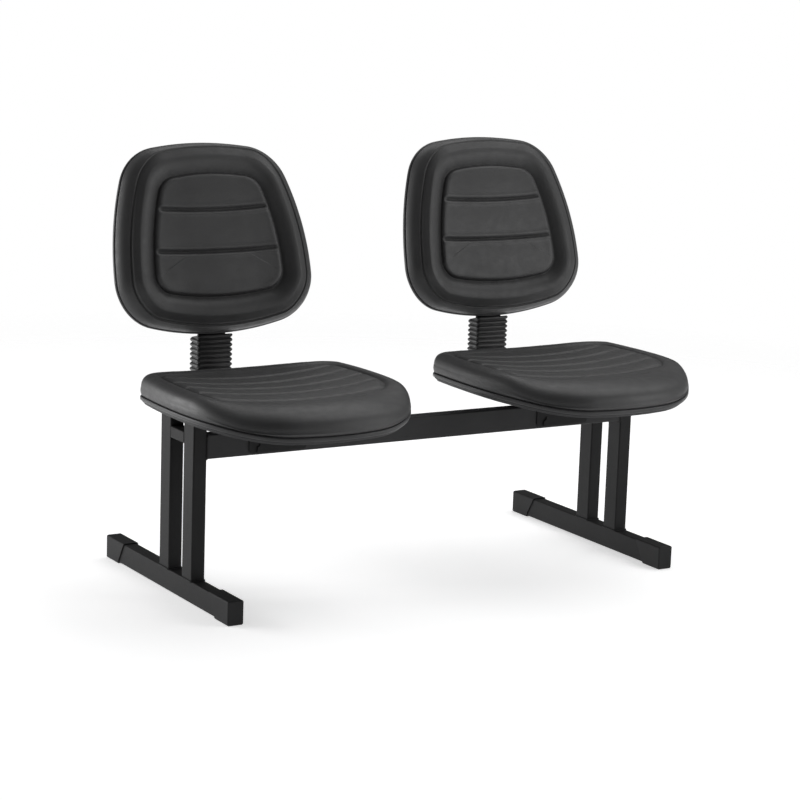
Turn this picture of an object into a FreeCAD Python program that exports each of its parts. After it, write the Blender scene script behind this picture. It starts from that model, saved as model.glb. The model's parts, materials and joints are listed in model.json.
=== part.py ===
import FreeCAD, Part
import os, math

# Two-place beam seat.  Millimetres.  X runs along the beam, the seats face -Y,
# Z is up and the floor is z = 0.  The origin is on the floor, midway between
# the legs in X and midway between the two posts of a leg in Y.

V = FreeCAD.Vector
os.makedirs("parts", exist_ok=True)

# ---------------------------------------------------------------- dimensions
leg_spacing = 1040.0          # leg centre to leg centre, X
seat_pitch = 694.0            # seat centre to seat centre, X

tube_w = 30.0                 # width of every frame tube, X (posts, feet) or Y (beam)
tube_d = 45.0                 # depth of the posts, height of the foot tubes
tube_t = 2.0                  # wall
tube_r = 3.0                  # outer corner radius
beam_h = 50.0                 # beam height
beam_z0 = 296.0               # underside of the beam
beam_top = beam_z0 + beam_h
post_top = beam_top + 22.0      # the posts end just under the seat shells
post_gap = 60.0               # clear gap between front and rear post
foot_y0 = -243.0              # front end of the foot, over the cap
foot_y1 = 331.5               # rear end of the foot, over the cap
cap_wall = 2.5
cap_end = 4.0
cap_len_top = 88.0            # the cap's skirt is longer on top than below
cap_len_bot = 56.0
bridge_h = 24.0               # tie between the post tops

# seat outline, measured from the widest line (y = seat_y)
seat_y = -85.0
seat_a = 246.0
seat_front = dict(b=245.0, r=190.0, al=9.0, be=10.0)
seat_rear = dict(b=225.0, r=70.0, al=8.0, be=11.0)
z_plate = 375.0               # top of the steel seat plate
z_board0 = 378.0              # plywood, 12 thick
board_t = 12.0
z_bead0 = 382.5               # edge bead
z_seam = 391.0                # cover meets the bead
z_seat_top = 446.0            # crown of the cushion
side_rise = 14.0              # the seat's edge is curved: up at the sides ...
front_drop = 9.0              # ... and down at the front

# back outline in its own frame (x, v up the back, t rearwards from the face)
rake = 15.0
back_y = 209.0                # face plane passes here ...
back_z = 660.0                # ... at this height
back_v0 = -43.0               # widest line
back_a = 227.0
back_up = dict(b=286.0, r=107.0, al=19.6, be=9.2)
back_lo = dict(b=115.0, r=100.0, al=11.9, be=13.8)
t_bead0 = 40.0                # edge bead
t_bead1 = 48.0
t_board0 = 46.0               # plywood, 10 thick
t_board1 = 56.0
t_shell = 59.0                # outer face of the rear shell around its edge
t_spine = 77.0                # outer face of the shell over the guide
flat_x = 60.0                 # the back is flat between x = +-60 ...
curve_t = -600.0              # ... and its sides curve forward about lines at this t

bar_w = 63.0                  # flat steel back bar
bar_t = 6.0
bar_y = 230.0                 # centre of its upright run
bar_z = 369.0                 # centre of its lower run
bar_front = 18.0              # front end of the lower run
t_bar = 62.5                  # centre of the inclined run, in the back's frame
bar_top_v = 69.0

travel_down = 20.0            # height adjustment of the back along the bar
travel_up = 50.0

bellows_w = 84.0
bellows_d = 43.0
bellows_z0 = 390.0
bellows_z1 = 494.0              # its top follows the underside of the back
bellows_n = 10
spine_w = 118.0               # raised spine of the rear shell
stud_r = 3.97

# ------------------------------------------------------------------- helpers
def box(x0, x1, y0, y1, z0, z1):
    return Part.makeBox(x1 - x0, y1 - y0, z1 - z0, V(x0, y0, z0))

def cyl(r, p, d, h):
    return Part.makeCylinder(r, h, V(*p), V(*d))

def rrect(w, h, r, place):
    """Rounded rectangle, centred, in the plane given by place(a, b)."""
    a, b = w / 2.0, h / 2.0
    k = r * (1 - math.sqrt(0.5))
    def P(x, y):
        return place(x, y)
    e = []
    e.append(Part.LineSegment(P(-a + r, -b), P(a - r, -b)).toShape())
    e.append(Part.Arc(P(a - r, -b), P(a - k, -b + k), P(a, -b + r)).toShape())
    e.append(Part.LineSegment(P(a, -b + r), P(a, b - r)).toShape())
    e.append(Part.Arc(P(a, b - r), P(a - k, b - k), P(a - r, b)).toShape())
    e.append(Part.LineSegment(P(a - r, b), P(-a + r, b)).toShape())
    e.append(Part.Arc(P(-a + r, b), P(-a + k, b - k), P(-a, b - r)).toShape())
    e.append(Part.LineSegment(P(-a, b - r), P(-a, -b + r)).toShape())
    e.append(Part.Arc(P(-a, -b + r), P(-a + k, -b + k), P(-a + r, -b)).toShape())
    return Part.Face(Part.Wire(e))

def rprism(w, h, r, c, axis, length):
    """Solid bar of rounded rectangular section w x h along axis from c."""
    cx, cy, cz = c
    if axis == "X":
        pl = lambda a, b: V(cx, cy + a, cz + b)
        d = V(length, 0, 0)
    elif axis == "Y":
        pl = lambda a, b: V(cx + a, cy, cz + b)
        d = V(0, length, 0)
    else:
        pl = lambda a, b: V(cx + a, cy + b, cz)
        d = V(0, 0, length)
    return rrect(w, h, r, pl).extrude(d)

def rtube(w, h, c, axis, length, t=tube_t, r=tube_r):
    return rprism(w, h, r, c, axis, length).cut(rprism(w - 2 * t, h - 2 * t, max(r - t, 0.5), c, axis, length))

def quad(a, b, r, al, be):
    """Quarter outline from (a, 0) to (0, b) as three tangent arcs."""
    A, B = math.radians(al), math.radians(be)
    m00, m01 = 1 - math.cos(A), math.sin(B)
    m10, m11 = math.sin(A), 1 - math.cos(B)
    h0 = a - r * math.cos(A) + r * math.sin(B)
    h1 = b + r * math.sin(A) - r * math.cos(B)
    det = m00 * m11 - m01 * m10
    R1 = (h0 * m11 - m01 * h1) / det
    R2 = (m00 * h1 - m10 * h0) / det
    c1 = (a - R1, 0.0)
    p1 = (c1[0] + R1 * math.cos(A), R1 * math.sin(A))
    cc = (p1[0] - r * math.cos(A), p1[1] - r * math.sin(A))
    c2 = (0.0, b - R2)
    return [(c1, R1, 0.0, al), (cc, r, al, 90.0 - be), (c2, R2, 90.0 - be, 90.0)]

def outline(a, v0, up, lo, inset, place):
    """Closed outline of twelve tangent arcs, offset inwards by inset."""
    def q(s):
        return quad(a - inset, s["b"] - inset, s["r"] - inset, s["al"], s["be"])
    U, L = q(up), q(lo)
    edges = []
    def add(arc, sx, sy, rev):
        (c, R, t0, t1) = arc
        ts = [t0, (t0 + t1) / 2.0, t1]
        if rev:
            ts = ts[::-1]
        p = [place(sx * (c[0] + R * math.cos(math.radians(t))),
                   v0 + sy * (c[1] + R * math.sin(math.radians(t)))) for t in ts]
        edges.append(Part.Arc(*p).toShape())
    for arc in U:
        add(arc, 1, 1, False)
    for arc in U[::-1]:
        add(arc, -1, 1, True)
    for arc in L:
        add(arc, -1, -1, False)
    for arc in L[::-1]:
        add(arc, 1, -1, True)
    return Part.Wire(edges)

def seat_prism(xc, inset, z0, z1):
    w = outline(seat_a, seat_y, seat_rear, seat_front, inset, lambda x, y: V(xc + x, y, z0))
    return Part.Face(w).extrude(V(0, 0, z1 - z0))

def seat_curve(x, y):
    """How far the seat's sheet stands above its flat middle."""
    s = max(0.0, (abs(x) - 100.0) / 146.0)
    q = max(0.0, (-190.0 - y) / 140.0)
    return side_rise * s * s - front_drop * q * q

def seat_sheet(xc, z0, h):
    """Solid of height h standing on the curved sheet at level z0."""
    if seat_sheet.base is None:
        # biquadratic, exactly flat for |x| <= 100 and y >= -190
        fx = [(-256.0, seat_curve(256.0, 0.0)), (-178.0, 0.0), (0.0, 0.0), (178.0, 0.0), (256.0, seat_curve(256.0, 0.0))]
        fy = [(-342.0, seat_curve(0.0, -342.0)), (-266.0, 0.0), (-20.0, 0.0), (150.0, 0.0)]
        g = Part.BSplineSurface()
        g.buildFromPolesMultsKnots([[V(x, y, a + b) for y, b in fy] for x, a in fx],
                                   [3, 1, 1, 3], [3, 1, 3], [-256.0, -100.0, 100.0, 256.0], [-342.0, -190.0, 150.0],
                                   False, False, 2, 2)
        seat_sheet.base = g.toShape()
    f = seat_sheet.base.copy()
    f.translate(V(xc, 0, z0))
    return f.extrude(V(0, 0, h))
seat_sheet.base = None

def seat_ply(xc, inset, z0, z1):
    """Layer of the seat between two levels, following the curved sheet."""
    return seat_prism(xc, inset, z0 - 40.0, z1 + 60.0).common(seat_sheet(xc, z0, z1 - z0))

def back_slab(t0, t1):
    """Sheet between depths t0 and t1: flat in the middle, sides curved forward."""
    def at(sx, t, ang):
        a = math.radians(ang)
        return V(sx * (flat_x + (t - curve_t) * math.sin(a)), curve_t + (t - curve_t) * math.cos(a), -220.0)
    def arc(sx, t, a0, a1):
        return Part.Arc(at(sx, t, a0), at(sx, t, (a0 + a1) / 2.0), at(sx, t, a1)).toShape()
    end = 21.0
    e = [Part.makeLine(at(-1, t0, 0), at(1, t0, 0)), arc(1, t0, 0, end),
         Part.makeLine(at(1, t0, end), at(1, t1, end)), arc(1, t1, end, 0),
         Part.makeLine(at(1, t1, 0), at(-1, t1, 0)), arc(-1, t1, 0, end),
         Part.makeLine(at(-1, t1, end), at(-1, t0, end)), arc(-1, t0, end, 0)]
    return Part.Face(Part.Wire(e)).extrude(V(0, 0, 560.0))

def back_prism(inset, t0, t1):
    """In the back's frame: x, t along +Y, v along +Z."""
    w = outline(back_a, back_v0, back_up, back_lo, inset, lambda x, v: V(x, -90.0, v))
    return Part.Face(w).extrude(V(0, 200.0, 0)).common(back_slab(t0, t1))

def along_curve(shape, x):
    """Turn a piece made as if the back were flat onto its curved side."""
    if abs(x) <= flat_x:
        return shape
    sx = 1 if x > 0 else -1
    s = shape.copy()
    ang = math.degrees((abs(x) - flat_x) / (t_board1 - curve_t))
    s.translate(V(-sx * (abs(x) - flat_x), 0, 0))
    s.rotate(V(sx * flat_x, curve_t, 0), V(0, 0, 1), -sx * ang)
    return s

def on_depth(e, t):
    """Is this edge on the curved sheet at depth t?"""
    for k in (0.0, 0.5, 1.0):
        p = e.valueAt(e.FirstParameter + (e.LastParameter - e.FirstParameter) * k)
        d = p.y if abs(p.x) <= flat_x else curve_t + math.hypot(abs(p.x) - flat_x, p.y - curve_t)
        if abs(d - t) > 0.01:
            return False
    # not the seams along the sheet's own joins
    a, b = e.valueAt(e.FirstParameter), e.valueAt(e.LastParameter)
    return not (abs(abs(a.x) - flat_x) < 0.01 and abs(abs(b.x) - flat_x) < 0.01 and abs(a.x - b.x) < 0.01)

def place_back(s, xc):
    s = s.copy()
    s.rotate(V(0, 0, 0), V(1, 0, 0), -rake)
    s.translate(V(xc, back_y, back_z))
    return s

def edge_near(shape, test):
    return [e for e in shape.Edges if test(e)]

def fuse(*s):
    r = s[0]
    for k in s[1:]:
        r = r.fuse(k)
    return r.removeSplitter()

def hex_prism(af, p, d, h):
    """Hexagon of across-flats af, from point p along d."""
    d = V(*d)
    p = V(*p)
    n = V(0, 0, 1) if abs(d.z) < 0.9 else V(1, 0, 0)
    u = d.cross(n); u.normalize()
    w = d.cross(u); w.normalize()
    R = af / math.sqrt(3)
    pts = [p + u * (R * math.cos(math.pi / 3 * i)) + w * (R * math.sin(math.pi / 3 * i)) for i in range(7)]
    return Part.Face(Part.makePolygon(pts)).extrude(d * h)

nodes = {}
def keep(name, shape):
    nodes[name] = shape

# --------------------------------------------------------------------- frame
xl = leg_spacing / 2.0
yf = -post_gap / 2.0 - tube_d / 2.0         # centre of the front post
yr = post_gap / 2.0 + tube_d / 2.0
foot_z = cap_wall + tube_d / 2.0
foot_top = cap_wall + tube_d
beam_y = yf - tube_d / 2.0 + tube_w / 2.0   # beam flush with the front posts
beam_len = leg_spacing - tube_w
beam_y_rear = beam_y + tube_w / 2.0
beam_y_front = beam_y - tube_w / 2.0
bolt_dx = 30.0
bolt_z = beam_z0 + beam_h / 2.0
seat_x = {"left": -seat_pitch / 2.0, "right": seat_pitch / 2.0}

beam = rtube(tube_w, beam_h, (-beam_len / 2.0, beam_y, beam_z0 + beam_h / 2.0), "X", beam_len)
nuts = []
for xc in seat_x.values():
    for s in (-1, 1):
        x = xc + s * bolt_dx
        beam = beam.cut(cyl(5.6, (x, beam_y_rear - 4, bolt_z), (0, 1, 0), 8))
        n = cyl(5.5, (x, beam_y_rear - 15, bolt_z), (0, 1, 0), 15)
        n = n.fuse(cyl(7.5, (x, beam_y_rear - tube_t - 3.5, bolt_z), (0, 1, 0), 3.4))
        n = n.cut(cyl(4.0, (x, beam_y_rear - 16, bolt_z), (0, 1, 0), 18))
        nuts.append(n)
    # keyed slot in the front wall, behind the relief slot of the bracket ear
    pts = [(xc - 57.5, beam_top - 24.5), (xc - 40.5, beam_top - 24.5), (xc - 40.5, beam_top - 30.7), (xc - 46.3, beam_top - 33.7),
           (xc - 47.3, beam_z0 + 5), (xc - 52.7, beam_z0 + 5), (xc - 53.7, beam_top - 33.7), (xc - 57.5, beam_top - 30.7), (xc - 57.5, beam_top - 24.5)]
    beam = beam.cut(Part.Face(Part.makePolygon([V(a, beam_y_front - 1, b) for a, b in pts])).extrude(V(0, tube_t + 1.5, 0)))
keep("beam_tube", beam)
keep("beam_insert_nuts", Part.makeCompound(nuts))

plugs = []
for side, sx in (("left", -1), ("right", 1)):
    x = sx * xl
    for nm, y in (("front", yf), ("rear", yr)):
        keep("post_%s_%s" % (nm, side), rtube(tube_w, tube_d, (x, y, foot_top), "Z", post_top - foot_top))
        p = rprism(tube_w - 2 * tube_t - 0.2, tube_d - 2 * tube_t - 0.2, 1.0, (x, y, post_top - 12), "Z", 12)
        p = p.cut(rprism(tube_w - 2 * tube_t - 5, tube_d - 2 * tube_t - 5, 1.0, (x, y, post_top - 12), "Z", 10))
        p = p.fuse(rprism(tube_w, tube_d, tube_r, (x, y, post_top), "Z", 2.0))
        plugs.append(p.removeSplitter())
    keep("leg_tie_%s" % side, rtube(tube_w, bridge_h, (x, -post_gap / 2.0, beam_top - bridge_h / 2.0), "Y", post_gap))
    keep("foot_tube_%s" % side, rtube(tube_w, tube_d, (x, foot_y0 + cap_end, foot_z), "Y", foot_y1 - foot_y0 - 2 * cap_end))
    # slip-over end caps, skirt cut on a slant
    ow, oh = tube_w + 2 * cap_wall, tube_d + 2 * cap_wall
    for nm, y0, d in (("front", foot_y0, 1), ("rear", foot_y1, -1)):
        L = cap_len_top
        ya = y0 if d > 0 else y0 - L
        c = rprism(ow, oh, 4.0, (x, ya, foot_z), "Y", L)
        yc = y0 + d * cap_end
        cav = rprism(tube_w + 0.1, tube_d + 0.1, tube_r, (x, min(yc, yc + d * L), foot_z), "Y", L)
        # rounded outer end
        ends = [e for e in c.Edges if abs(e.BoundBox.YMin - y0) < 1e-3 and abs(e.BoundBox.YMax - y0) < 1e-3]
        c = c.makeFillet(3.0, ends)
        c = c.cut(cav)
        # slanted skirt: wedge removed below the line from the long top to the short bottom
        yt, yb = y0 + d * cap_len_top, y0 + d * cap_len_bot
        pts = [V(x - 40, yt, oh + 1), V(x - 40, yt + d * 5, oh + 1), V(x - 40, yt + d * 5, -1), V(x - 40, yb, -1), V(x - 40, yt, oh + 1)]
        c = c.cut(Part.Face(Part.makePolygon(pts)).extrude(V(80, 0, 0)))
        # rib pocket inside the end wall stays solid; a plug tongue grips the tube
        tg = rprism(tube_w - 2 * tube_t - 0.3, tube_d - 2 * tube_t - 0.3, 1.0, (x, min(yc, yc + d * 22), foot_z), "Y", 22)
        tg = tg.cut(rprism(tube_w - 2 * tube_t - 6, tube_d - 2 * tube_t - 6, 1.0, (x, min(yc, yc + d * 23), foot_z), "Y", 23))
        keep("foot_cap_%s_%s" % (nm, side), c.fuse(tg).removeSplitter())
keep("post_top_plugs", Part.makeCompound(plugs))

# --------------------------------------------------------------------- seats
bolt_sx, bolt_y0, bolt_y1 = 80.0, -165.0, 35.0
bar_bolt_y = (32.0, 62.0)

# back bar profile (y, z) built from its centre line
cr, sr = math.cos(math.radians(rake)), math.sin(math.radians(rake))
def back_to_yz(v, t):
    return (back_y + v * sr + t * cr, back_z + v * cr - t * sr)
# where the inclined centre line meets the upright one
v_bend = (bar_y - back_y - t_bar * cr) / sr
z_bend = back_to_yz(v_bend, t_bar)[1]

def bar_solid(xc):
    P = [V(xc, bar_front, bar_z), V(xc, bar_y, bar_z), V(xc, bar_y, z_bend)]
    yt, zt = back_to_yz(bar_top_v, t_bar)
    P.append(V(xc, yt, zt))
    def offset_side(h):
        # offset of the centre line by h (towards +Y / -Z side), with bend arcs
        R1, R2 = 18.0, 60.0
        e = []
        y0, z0 = bar_y, bar_z
        r1 = R1 + h
        # lower bend: centre (bar_y-R1, bar_z+R1)
        c1 = (y0 - R1, z0 + R1)
        a = V(xc, bar_front, bar_z - h)
        b = V(xc, c1[0], bar_z - h)
        m = V(xc, c1[0] + r1 * math.sin(math.radians(45)), c1[1] - r1 * math.cos(math.radians(45)))
        c = V(xc, y0 + h, c1[1])
        # upper bend: turns rearwards, centre behind the bar
        k = R2 * math.tan(math.radians(rake / 2.0))
        c2 = (y0 + R2, z_bend - k)
        r2 = R2 - h
        d = V(xc, y0 + h, c2[1])
        a1 = math.radians(rake / 2.0)
        a2 = math.radians(rake)
        m2 = V(xc, c2[0] - r2 * math.cos(a1), c2[1] + r2 * math.sin(a1))
        f = V(xc, c2[0] - r2 * math.cos(a2), c2[1] + r2 * math.sin(a2))
        g = V(xc, yt + h * cr, zt - h * sr)
        return [a, b, m, c, d, m2, f, g]
    A = offset_side(bar_t / 2.0)
    B = offset_side(-bar_t / 2.0)
    def chain(q):
        return [Part.LineSegment(q[0], q[1]).toShape(), Part.Arc(q[1], q[2], q[3]).toShape(),
                Part.LineSegment(q[3], q[4]).toShape(), Part.Arc(q[4], q[5], q[6]).toShape(),
                Part.LineSegment(q[6], q[7]).toShape()]
    ea, eb = chain(A), chain(B)
    ends = [Part.LineSegment(A[7], B[7]).toShape()]
    front = [Part.LineSegment(B[0], A[0]).toShape()]
    w = Part.Wire(Part.__sortEdges__(ea + ends + eb + front))
    f = Part.Face(w)
    f.translate(V(-bar_w / 2.0, 0, 0))
    s = f.extrude(V(bar_w, 0, 0))
    for y in bar_bolt_y:
        s = s.cut(cyl(4.3, (xc, y, bar_z - 10), (0, 0, 1), 20))
    return s

def ear(xc, y0, w, z0, z1, r):
    """Plate in the XZ plane, 3 thick, lower corners rounded."""
    s = box(xc - w / 2.0, xc + w / 2.0, y0, y0 + 3.0, z0, z1)
    vert = []
    for e in s.Edges:
        bb = e.BoundBox
        if abs(bb.ZMin - z0) < 1e-3 and abs(bb.ZMax - z0) < 1e-3 and bb.YLength > 2.5:
            vert.append(e)
    return s.makeFillet(r, vert)

for side, xc in seat_x.items():
    # steel bracket: saddle over the beam, two webs and the seat plate
    z0 = beam_z0 + beam_h
    sad = box(xc - 65, xc + 65, beam_y_front - 3, beam_y_rear + 3, z0, z0 + 3)
    fe = ear(xc, beam_y_front - 3, 130, beam_z0 + 5, z0 + 1, 7.0)
    re = ear(xc, beam_y_rear, 100, beam_z0 + 5, z0 + 1, 7.0)
    # relief slot beside the left edge of the front ear, wide at the top
    yn0 = beam_y_front - 4
    pts = [V(xc - 58, yn0, z0 - 24), V(xc - 40, yn0, z0 - 24), V(xc - 40, yn0, z0 - 31), V(xc - 46, yn0, z0 - 34),
           V(xc - 47, yn0, beam_z0), V(xc - 53, yn0, beam_z0), V(xc - 54, yn0, z0 - 34), V(xc - 58, yn0, z0 - 31),
           V(xc - 58, yn0, z0 - 24)]
    fe = fe.cut(Part.Face(Part.makePolygon(pts)).extrude(V(0, 3.9999, 0)))
    for s in (-1, 1):
        re = re.cut(cyl(4.3, (xc + s * bolt_dx, beam_y_rear - 1, bolt_z), (0, 1, 0), 6))
    webs = [box(xc + s * 46.5 - 1.5, xc + s * 46.5 + 1.5, -185, 76, z0 + 3, z_plate - 3) for s in (-1, 1)]
    plate = rprism(190, 270, 14, (xc, -55, z_plate - 3), "Z", 3)
    for s in (-1, 1):
        for y in (bolt_y0, bolt_y1):
            plate = plate.cut(cyl(3.4, (xc + s * bolt_sx, y, z_plate - 5), (0, 0, 1), 8))
    for y in bar_bolt_y:
        plate = plate.cut(cyl(4.3, (xc, y, z_plate - 5), (0, 0, 1), 8))
    # lightening slot down the middle of the plate
    plate = plate.cut(rprism(40, 120, 18, (xc, -90, z_plate - 5), "Z", 8))
    keep("seat_bracket_%s" % side, fuse(sad, fe, re, webs[0], webs[1], plate))

    # bracket bolts: hexagon heads behind the rear ear, with washers
    b = []
    for s in (-1, 1):
        x = xc + s * bolt_dx
        y = beam_y_rear + 3
        q = cyl(8.0, (x, y, bolt_z), (0, 1, 0), 1.6)
        q = q.fuse(hex_prism(13.0, (x, y + 1.6, bolt_z), (0, 1, 0), 5.3))
        q = q.fuse(cyl(3.95, (x, y - 17, bolt_z), (0, 1, 0), 18))
        b.append(q.removeSplitter())
    keep("bracket_bolts_%s" % side, Part.makeCompound(b))

    # back bar and what clamps it under the plate
    keep("back_bar_%s" % side, bar_solid(xc))
    bb, bn = [], []
    for y in bar_bolt_y:
        q = cyl(9.0, (xc, y, bar_z - bar_t / 2 - 1.6), (0, 0, 1), 1.6)
        q = q.fuse(hex_prism(13.0, (xc, y, bar_z - bar_t / 2 - 1.6 - 5.3), (0, 0, 1), 5.3))
        q = q.fuse(cyl(3.95, (xc, y, bar_z - bar_t / 2 - 2), (0, 0, 1), 16))
        bb.append(q.removeSplitter())
        n = hex_prism(13.0, (xc, y, z_plate), (0, 0, 1), 6.5).cut(cyl(4.0, (xc, y, z_plate - 1), (0, 0, 1), 10))
        bn.append(n)
    keep("bar_bolts_%s" % side, Part.makeCompound(bb))
    keep("bar_weld_nuts_%s" % side, Part.makeCompound(bn))

    # plywood seat board
    board = seat_ply(xc, 15.0, z_board0, z_board0 + board_t)
    shell = seat_ply(xc, 3.0, z_plate + 4.0, z_bead0).fuse(seat_ply(xc, 7.5, z_plate, z_plate + 4.0)).removeSplitter()
    shell = shell.cut(seat_ply(xc, 15.0, z_board0, z_bead0 + 6))
    cush = seat_prism(xc, 0.0, z_seam - 20.0, z_seat_top)
    top = [e for e in cush.Edges if abs(e.BoundBox.ZMin - z_seat_top) < 1e-3]
    cush = cush.makeFillet(22.0, top)
    cush = cush.common(seat_sheet(xc, z_seam, 90.0))
    cush = cush.fuse(seat_ply(xc, 6.0, z_bead0, z_seam + 2.0)).removeSplitter()
    cush = cush.cut(seat_ply(xc, 15.0, z_board0 - 3.0, z_board0 + board_t))
    tn, sb = [], []
    for s in (-1, 1):
        for y in (bolt_y0, bolt_y1):
            x = xc + s * bolt_sx
            zt = z_board0 + board_t
            board = board.cut(cyl(4.3, (x, y, z_board0 - 1), (0, 0, 1), board_t + 2))
            shell = shell.cut(cyl(4.3, (x, y, z_plate - 1), (0, 0, 1), 6))
            cush = cush.cut(cyl(9.2, (x, y, zt - 0.5), (0, 0, 1), 2.0))
            n = cyl(4.25, (x, y, zt - 9), (0, 0, 1), 9).fuse(cyl(9.0, (x, y, zt), (0, 0, 1), 1.2))
            n = n.cut(cyl(3.0, (x, y, zt - 10), (0, 0, 1), 12)).removeSplitter()
            tn.append(n)
            q = cyl(7.0, (x, y, z_plate - 3 - 1.4), (0, 0, 1), 1.4)
            q = q.fuse(hex_prism(10.0, (x, y, z_plate - 3 - 1.4 - 4.0), (0, 0, 1), 4.0))
            q = q.fuse(cyl(2.95, (x, y, z_plate - 3.5), (0, 0, 1), zt - z_plate + 2.5))
            sb.append(q.removeSplitter())
    for y in bar_bolt_y:
        board = board.cut(cyl(9.0, (xc, y, z_board0 - 1), (0, 0, 1), board_t + 2))
        shell = shell.cut(cyl(9.0, (xc, y, z_plate - 1), (0, 0, 1), 5))
    keep("seat_board_%s" % side, board)
    keep("seat_shell_%s" % side, shell)
    keep("seat_cushion_%s" % side, cush)
    keep("seat_tee_nuts_%s" % side, Part.makeCompound(tn))
    keep("seat_bolts_%s" % side, Part.makeCompound(sb))
    bead = seat_ply(xc, -1.5, z_bead0, z_seam).cut(seat_prism(xc, 6.0, z_bead0 - 30, z_seam + 60))
    keep("seat_edge_bead_%s" % side, bead)

    # bellows over the upright of the bar
    pitch = (bellows_z1 - bellows_z0) / bellows_n
    bel = None
    for i in range(bellows_n):
        za = bellows_z0 + i * pitch
        low = rprism(bellows_w - 8, bellows_d - 8, 6.0, (xc, bar_y, za), "Z", pitch * 0.5)
        hi = rprism(bellows_w, bellows_d, 8.0, (xc, bar_y, za + pitch * 0.5), "Z", pitch * 0.5)
        bel = low.fuse(hi) if bel is None else bel.fuse(low).fuse(hi)
    bel = bel.cut(rprism(bellows_w - 11.0, bellows_d - 12.0, 5.0, (xc, bar_y, bellows_z0 - 1), "Z", bellows_z1 - bellows_z0 + 2))
    # trim the top parallel to the underside of the back, 1 mm below its edge bead
    vt = back_v0 - back_lo["b"] - 2.5
    blk = box(-60, 60, -60, 160, vt, vt + 80)
    bel = bel.cut(place_back(blk, xc))
    keep("bellows_%s" % side, bel.removeSplitter())

    # ------------------------------------------------------------- back, in its own frame
    bc = back_prism(0.0, 0.0, t_bead0)
    fr = [e for e in bc.Edges if on_depth(e, 0.0)]
    bc = bc.makeFillet(16.0, fr)
    bc = bc.fuse(back_prism(6.0, t_bead0, t_board0)).removeSplitter()
    brd = back_prism(14.0, t_board0, t_board1)
    bead = back_prism(-1.5, t_bead0, t_bead1).cut(back_prism(6.0, t_bead0 - 1, t_bead1 + 1))
    # rear shell: edge wall, rear plate and the raised spine over the guide
    sh = back_prism(3.0, t_bead1, t_shell)
    rr = [e for e in sh.Edges if on_depth(e, t_shell)]
    sh = sh.makeChamfer(6.0, rr)
    spine_c = (-158.0 + 95.0) / 2.0
    spine_h = 158.0 + 95.0
    sp = rprism(spine_w, spine_h, 20.0, (0, t_shell - 4, spine_c), "Y", t_spine - t_shell + 4)
    # keep the spine inside the outline at the bottom
    sp = sp.common(back_prism(3.0, t_shell - 4, t_spine))
    sh = sh.fuse(sp).removeSplitter()
    sh = sh.cut(back_prism(14.0, t_bead1 - 1, t_board1))
    sh = sh.cut(rprism(spine_w - 6.0, spine_h - 11.0, 17.0, (0, t_board1 - 2, spine_c + 2.5), "Y", t_spine - 3 - t_board1 + 2))
    sh = sh.cut(box(-36, 36, 50, t_spine - 3, -175, -100))
    vk = -20.0
    sh = sh.cut(cyl(7.0, (0, t_spine - 6, vk), (0, 1, 0), 10))
    # guide: folded steel sleeve for the bar, open at both ends
    g0, g1 = -60.0, 20.0
    gd = rprism(106.0, g1 - g0, 6.0, (0, t_board1, (g0 + g1) / 2), "Y", 3.0)
    gd = gd.fuse(box(-35.5, 35.5, t_board1 + 2, t_bar + bar_t / 2 + 3.5, g0, g1))
    gd = gd.cut(box(-bar_w / 2 - 0.5, bar_w / 2 + 0.5, t_bar - bar_t / 2 - 0.5, t_bar + bar_t / 2 + 0.5, g0 - 1, g1 + 1))
    # threaded boss for the clamp stud
    gd = gd.fuse(cyl(9.0, (0, t_bar + bar_t / 2 + 3.0, vk), (0, 1, 0), 5.0))
    gd = gd.cut(cyl(4.05, (0, t_bar + bar_t / 2, vk), (0, 1, 0), 12)).removeSplitter()
    tn, gs = [], []
    for sx in (-1, 1):
        for v in (g0 + 10, g1 - 10):
            x = sx * 44.5
            gd = gd.cut(cyl(3.4, (x, t_board1 - 1, v), (0, 1, 0), 6))
            brd = brd.cut(cyl(4.3, (x, t_board0 - 1, v), (0, 1, 0), 12))
            bc = bc.cut(cyl(9.2, (x, t_board0 - 1.5, v), (0, 1, 0), 2.0))
            n = cyl(4.25, (x, t_board0, v), (0, 1, 0), 8).fuse(cyl(9.0, (x, t_board0 - 1.2, v), (0, 1, 0), 1.2))
            n = n.cut(cyl(3.0, (x, t_board0 - 2, v), (0, 1, 0), 12)).removeSplitter()
            tn.append(n)
            q = cyl(5.5, (x, t_board1 + 3, v), (0, 1, 0), 3.2)
            q = q.cut(hex_prism(4.0, (x, t_board1 + 4.2, v), (0, 1, 0), 3.0))
            q = q.fuse(cyl(2.95, (x, t_board0 - 0.5, v), (0, 1, 0), t_board1 - t_board0 + 3.6))
            gs.append(q.removeSplitter())
    # shell screws, pan head, into the board
    ss = []
    for x, v in ((-150, 120), (150, 120), (-165, -70), (165, -70)):
        sh = sh.cut(along_curve(cyl(2.4, (x, t_board1 - 1, v), (0, 1, 0), 8), x))
        brd = brd.cut(along_curve(cyl(2.05, (x, t_board0 + 1, v), (0, 1, 0), 12), x))
        q = cyl(2.0, (x, t_board0 + 2, v), (0, 1, 0), t_shell - t_board0 - 2)
        hd = cyl(4.5, (x, t_shell, v), (0, 1, 0), 2.4)
        hd = hd.makeFillet(1.2, [e for e in hd.Edges if abs(e.BoundBox.YMin - t_shell - 2.4) < 1e-3])
        hd = hd.cut(box(x - 3, x + 3, t_shell + 1.4, t_shell + 3, v - 0.5, v + 0.5))
        hd = hd.cut(box(x - 0.5, x + 0.5, t_shell + 1.4, t_shell + 3, v - 3, v + 3))
        ss.append(along_curve(q.fuse(hd).removeSplitter(), x))
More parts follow.
